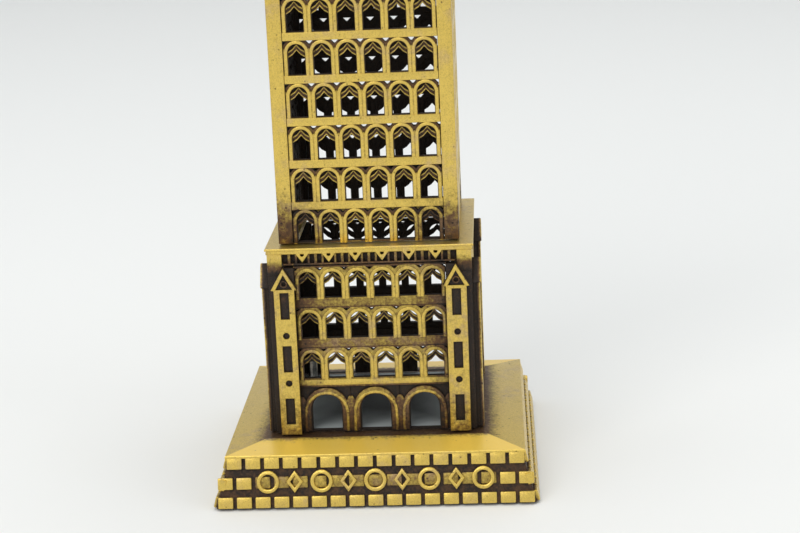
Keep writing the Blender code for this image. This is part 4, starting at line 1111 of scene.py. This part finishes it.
def build_stage():
    """A pale floor that bends up into a backdrop."""
    pale = Finish("pale floor", roughness=0.9, base_color=(0.83, 0.84, 0.83, 1.0))
    bm = bmesh.new()
    reach, far, bend, steps = 3.0, 1.1, 0.5, 16
    outline = [(-reach, 0.0), (far, 0.0)]
    for i in range(1, steps + 1):
        angle = QUARTER * i / steps
        outline.append((far + bend * math.sin(angle), bend * (1 - math.cos(angle))))
    outline.append((far + bend, 3.0))
    columns = [[bm.verts.new((x, y, z)) for y, z in outline] for x in (-reach, reach)]
    for i in range(len(outline) - 1):
        bm.faces.new((columns[0][i], columns[1][i], columns[1][i + 1], columns[0][i + 1]))
    mesh = bpy.data.meshes.new("sweep")
    bm.to_mesh(mesh)
    bm.free()
    mesh.materials.append(pale.material)
    mesh.shade_smooth()
    below_pad = 0.1 * MM  # keeps the floor clear of the pad's underside
    mesh.transform(Matrix.Translation((0.0, 0.0, -below_pad)))
    sweep = linked("backdrop", mesh)


def area_light(name, place, target, size, power, color=(1.0, 1.0, 1.0)):
    data = bpy.data.lights.new(name, "AREA")
    data.shape = "SQUARE"
    data.size = size
    data.energy = power
    data.color = color
    light = linked(name, data)
    light.location = place
    light.rotation_euler = (Vector(target) - Vector(place)).to_track_quat("-Z", "Y").to_euler()


def build_light():
    """Soft daylight from all round, a key from the front left, and a weaker fill and top light."""
    world = bpy.data.worlds.new("room")
    bpy.context.scene.world = world
    world.use_nodes = True
    background = world.node_tree.nodes["Background"]
    background.inputs["Color"].default_value = (0.97, 0.985, 1.0, 1.0)
    background.inputs["Strength"].default_value = 0.7
    middle = (0.0, 0.0, 0.06)
    area_light("key", (-0.35, -0.75, 0.75), middle, 0.6, 3.9, (1.0, 0.98, 0.95))
    area_light("fill", (0.8, -0.45, 0.35), middle, 0.5, 1.0)
    area_light("top", (0.05, 0.1, 1.1), middle, 0.8, 3.5)


def build_camera():
    """Stands a little right of the axis and above the base, and looks down at the tower's lower part."""
    pitch, yaw, roll = math.radians(14.469), math.radians(-3.102), math.radians(-2.440)
    ahead = Vector((math.sin(yaw) * math.cos(pitch), math.cos(yaw) * math.cos(pitch), -math.sin(pitch)))
    level = Vector((math.cos(yaw), -math.sin(yaw), 0.0))
    upright = level.cross(ahead)
    right = math.cos(roll) * level + math.sin(roll) * upright
    up = math.cos(roll) * upright - math.sin(roll) * level
    data = bpy.data.cameras.new("camera")
    data.sensor_width = 36.0
    data.lens = 84.71
    data.clip_start = 0.01
    camera = linked("camera", data)
    axes = Matrix((right, up, -ahead)).transposed().to_4x4()
    camera.matrix_world = Matrix.Translation((0.020385, -0.302677, 0.110703)) @ axes
    bpy.context.scene.camera = camera


build_base()
build_lower_block()
build_cornice()
build_shaft()
build_clock_stage()
build_gallery()
build_belfry()
build_roofs()
build_finial()
build_underside()
build_stage()
build_light()
build_camera()
bpy.context.scene.view_settings.view_transform = "Standard"
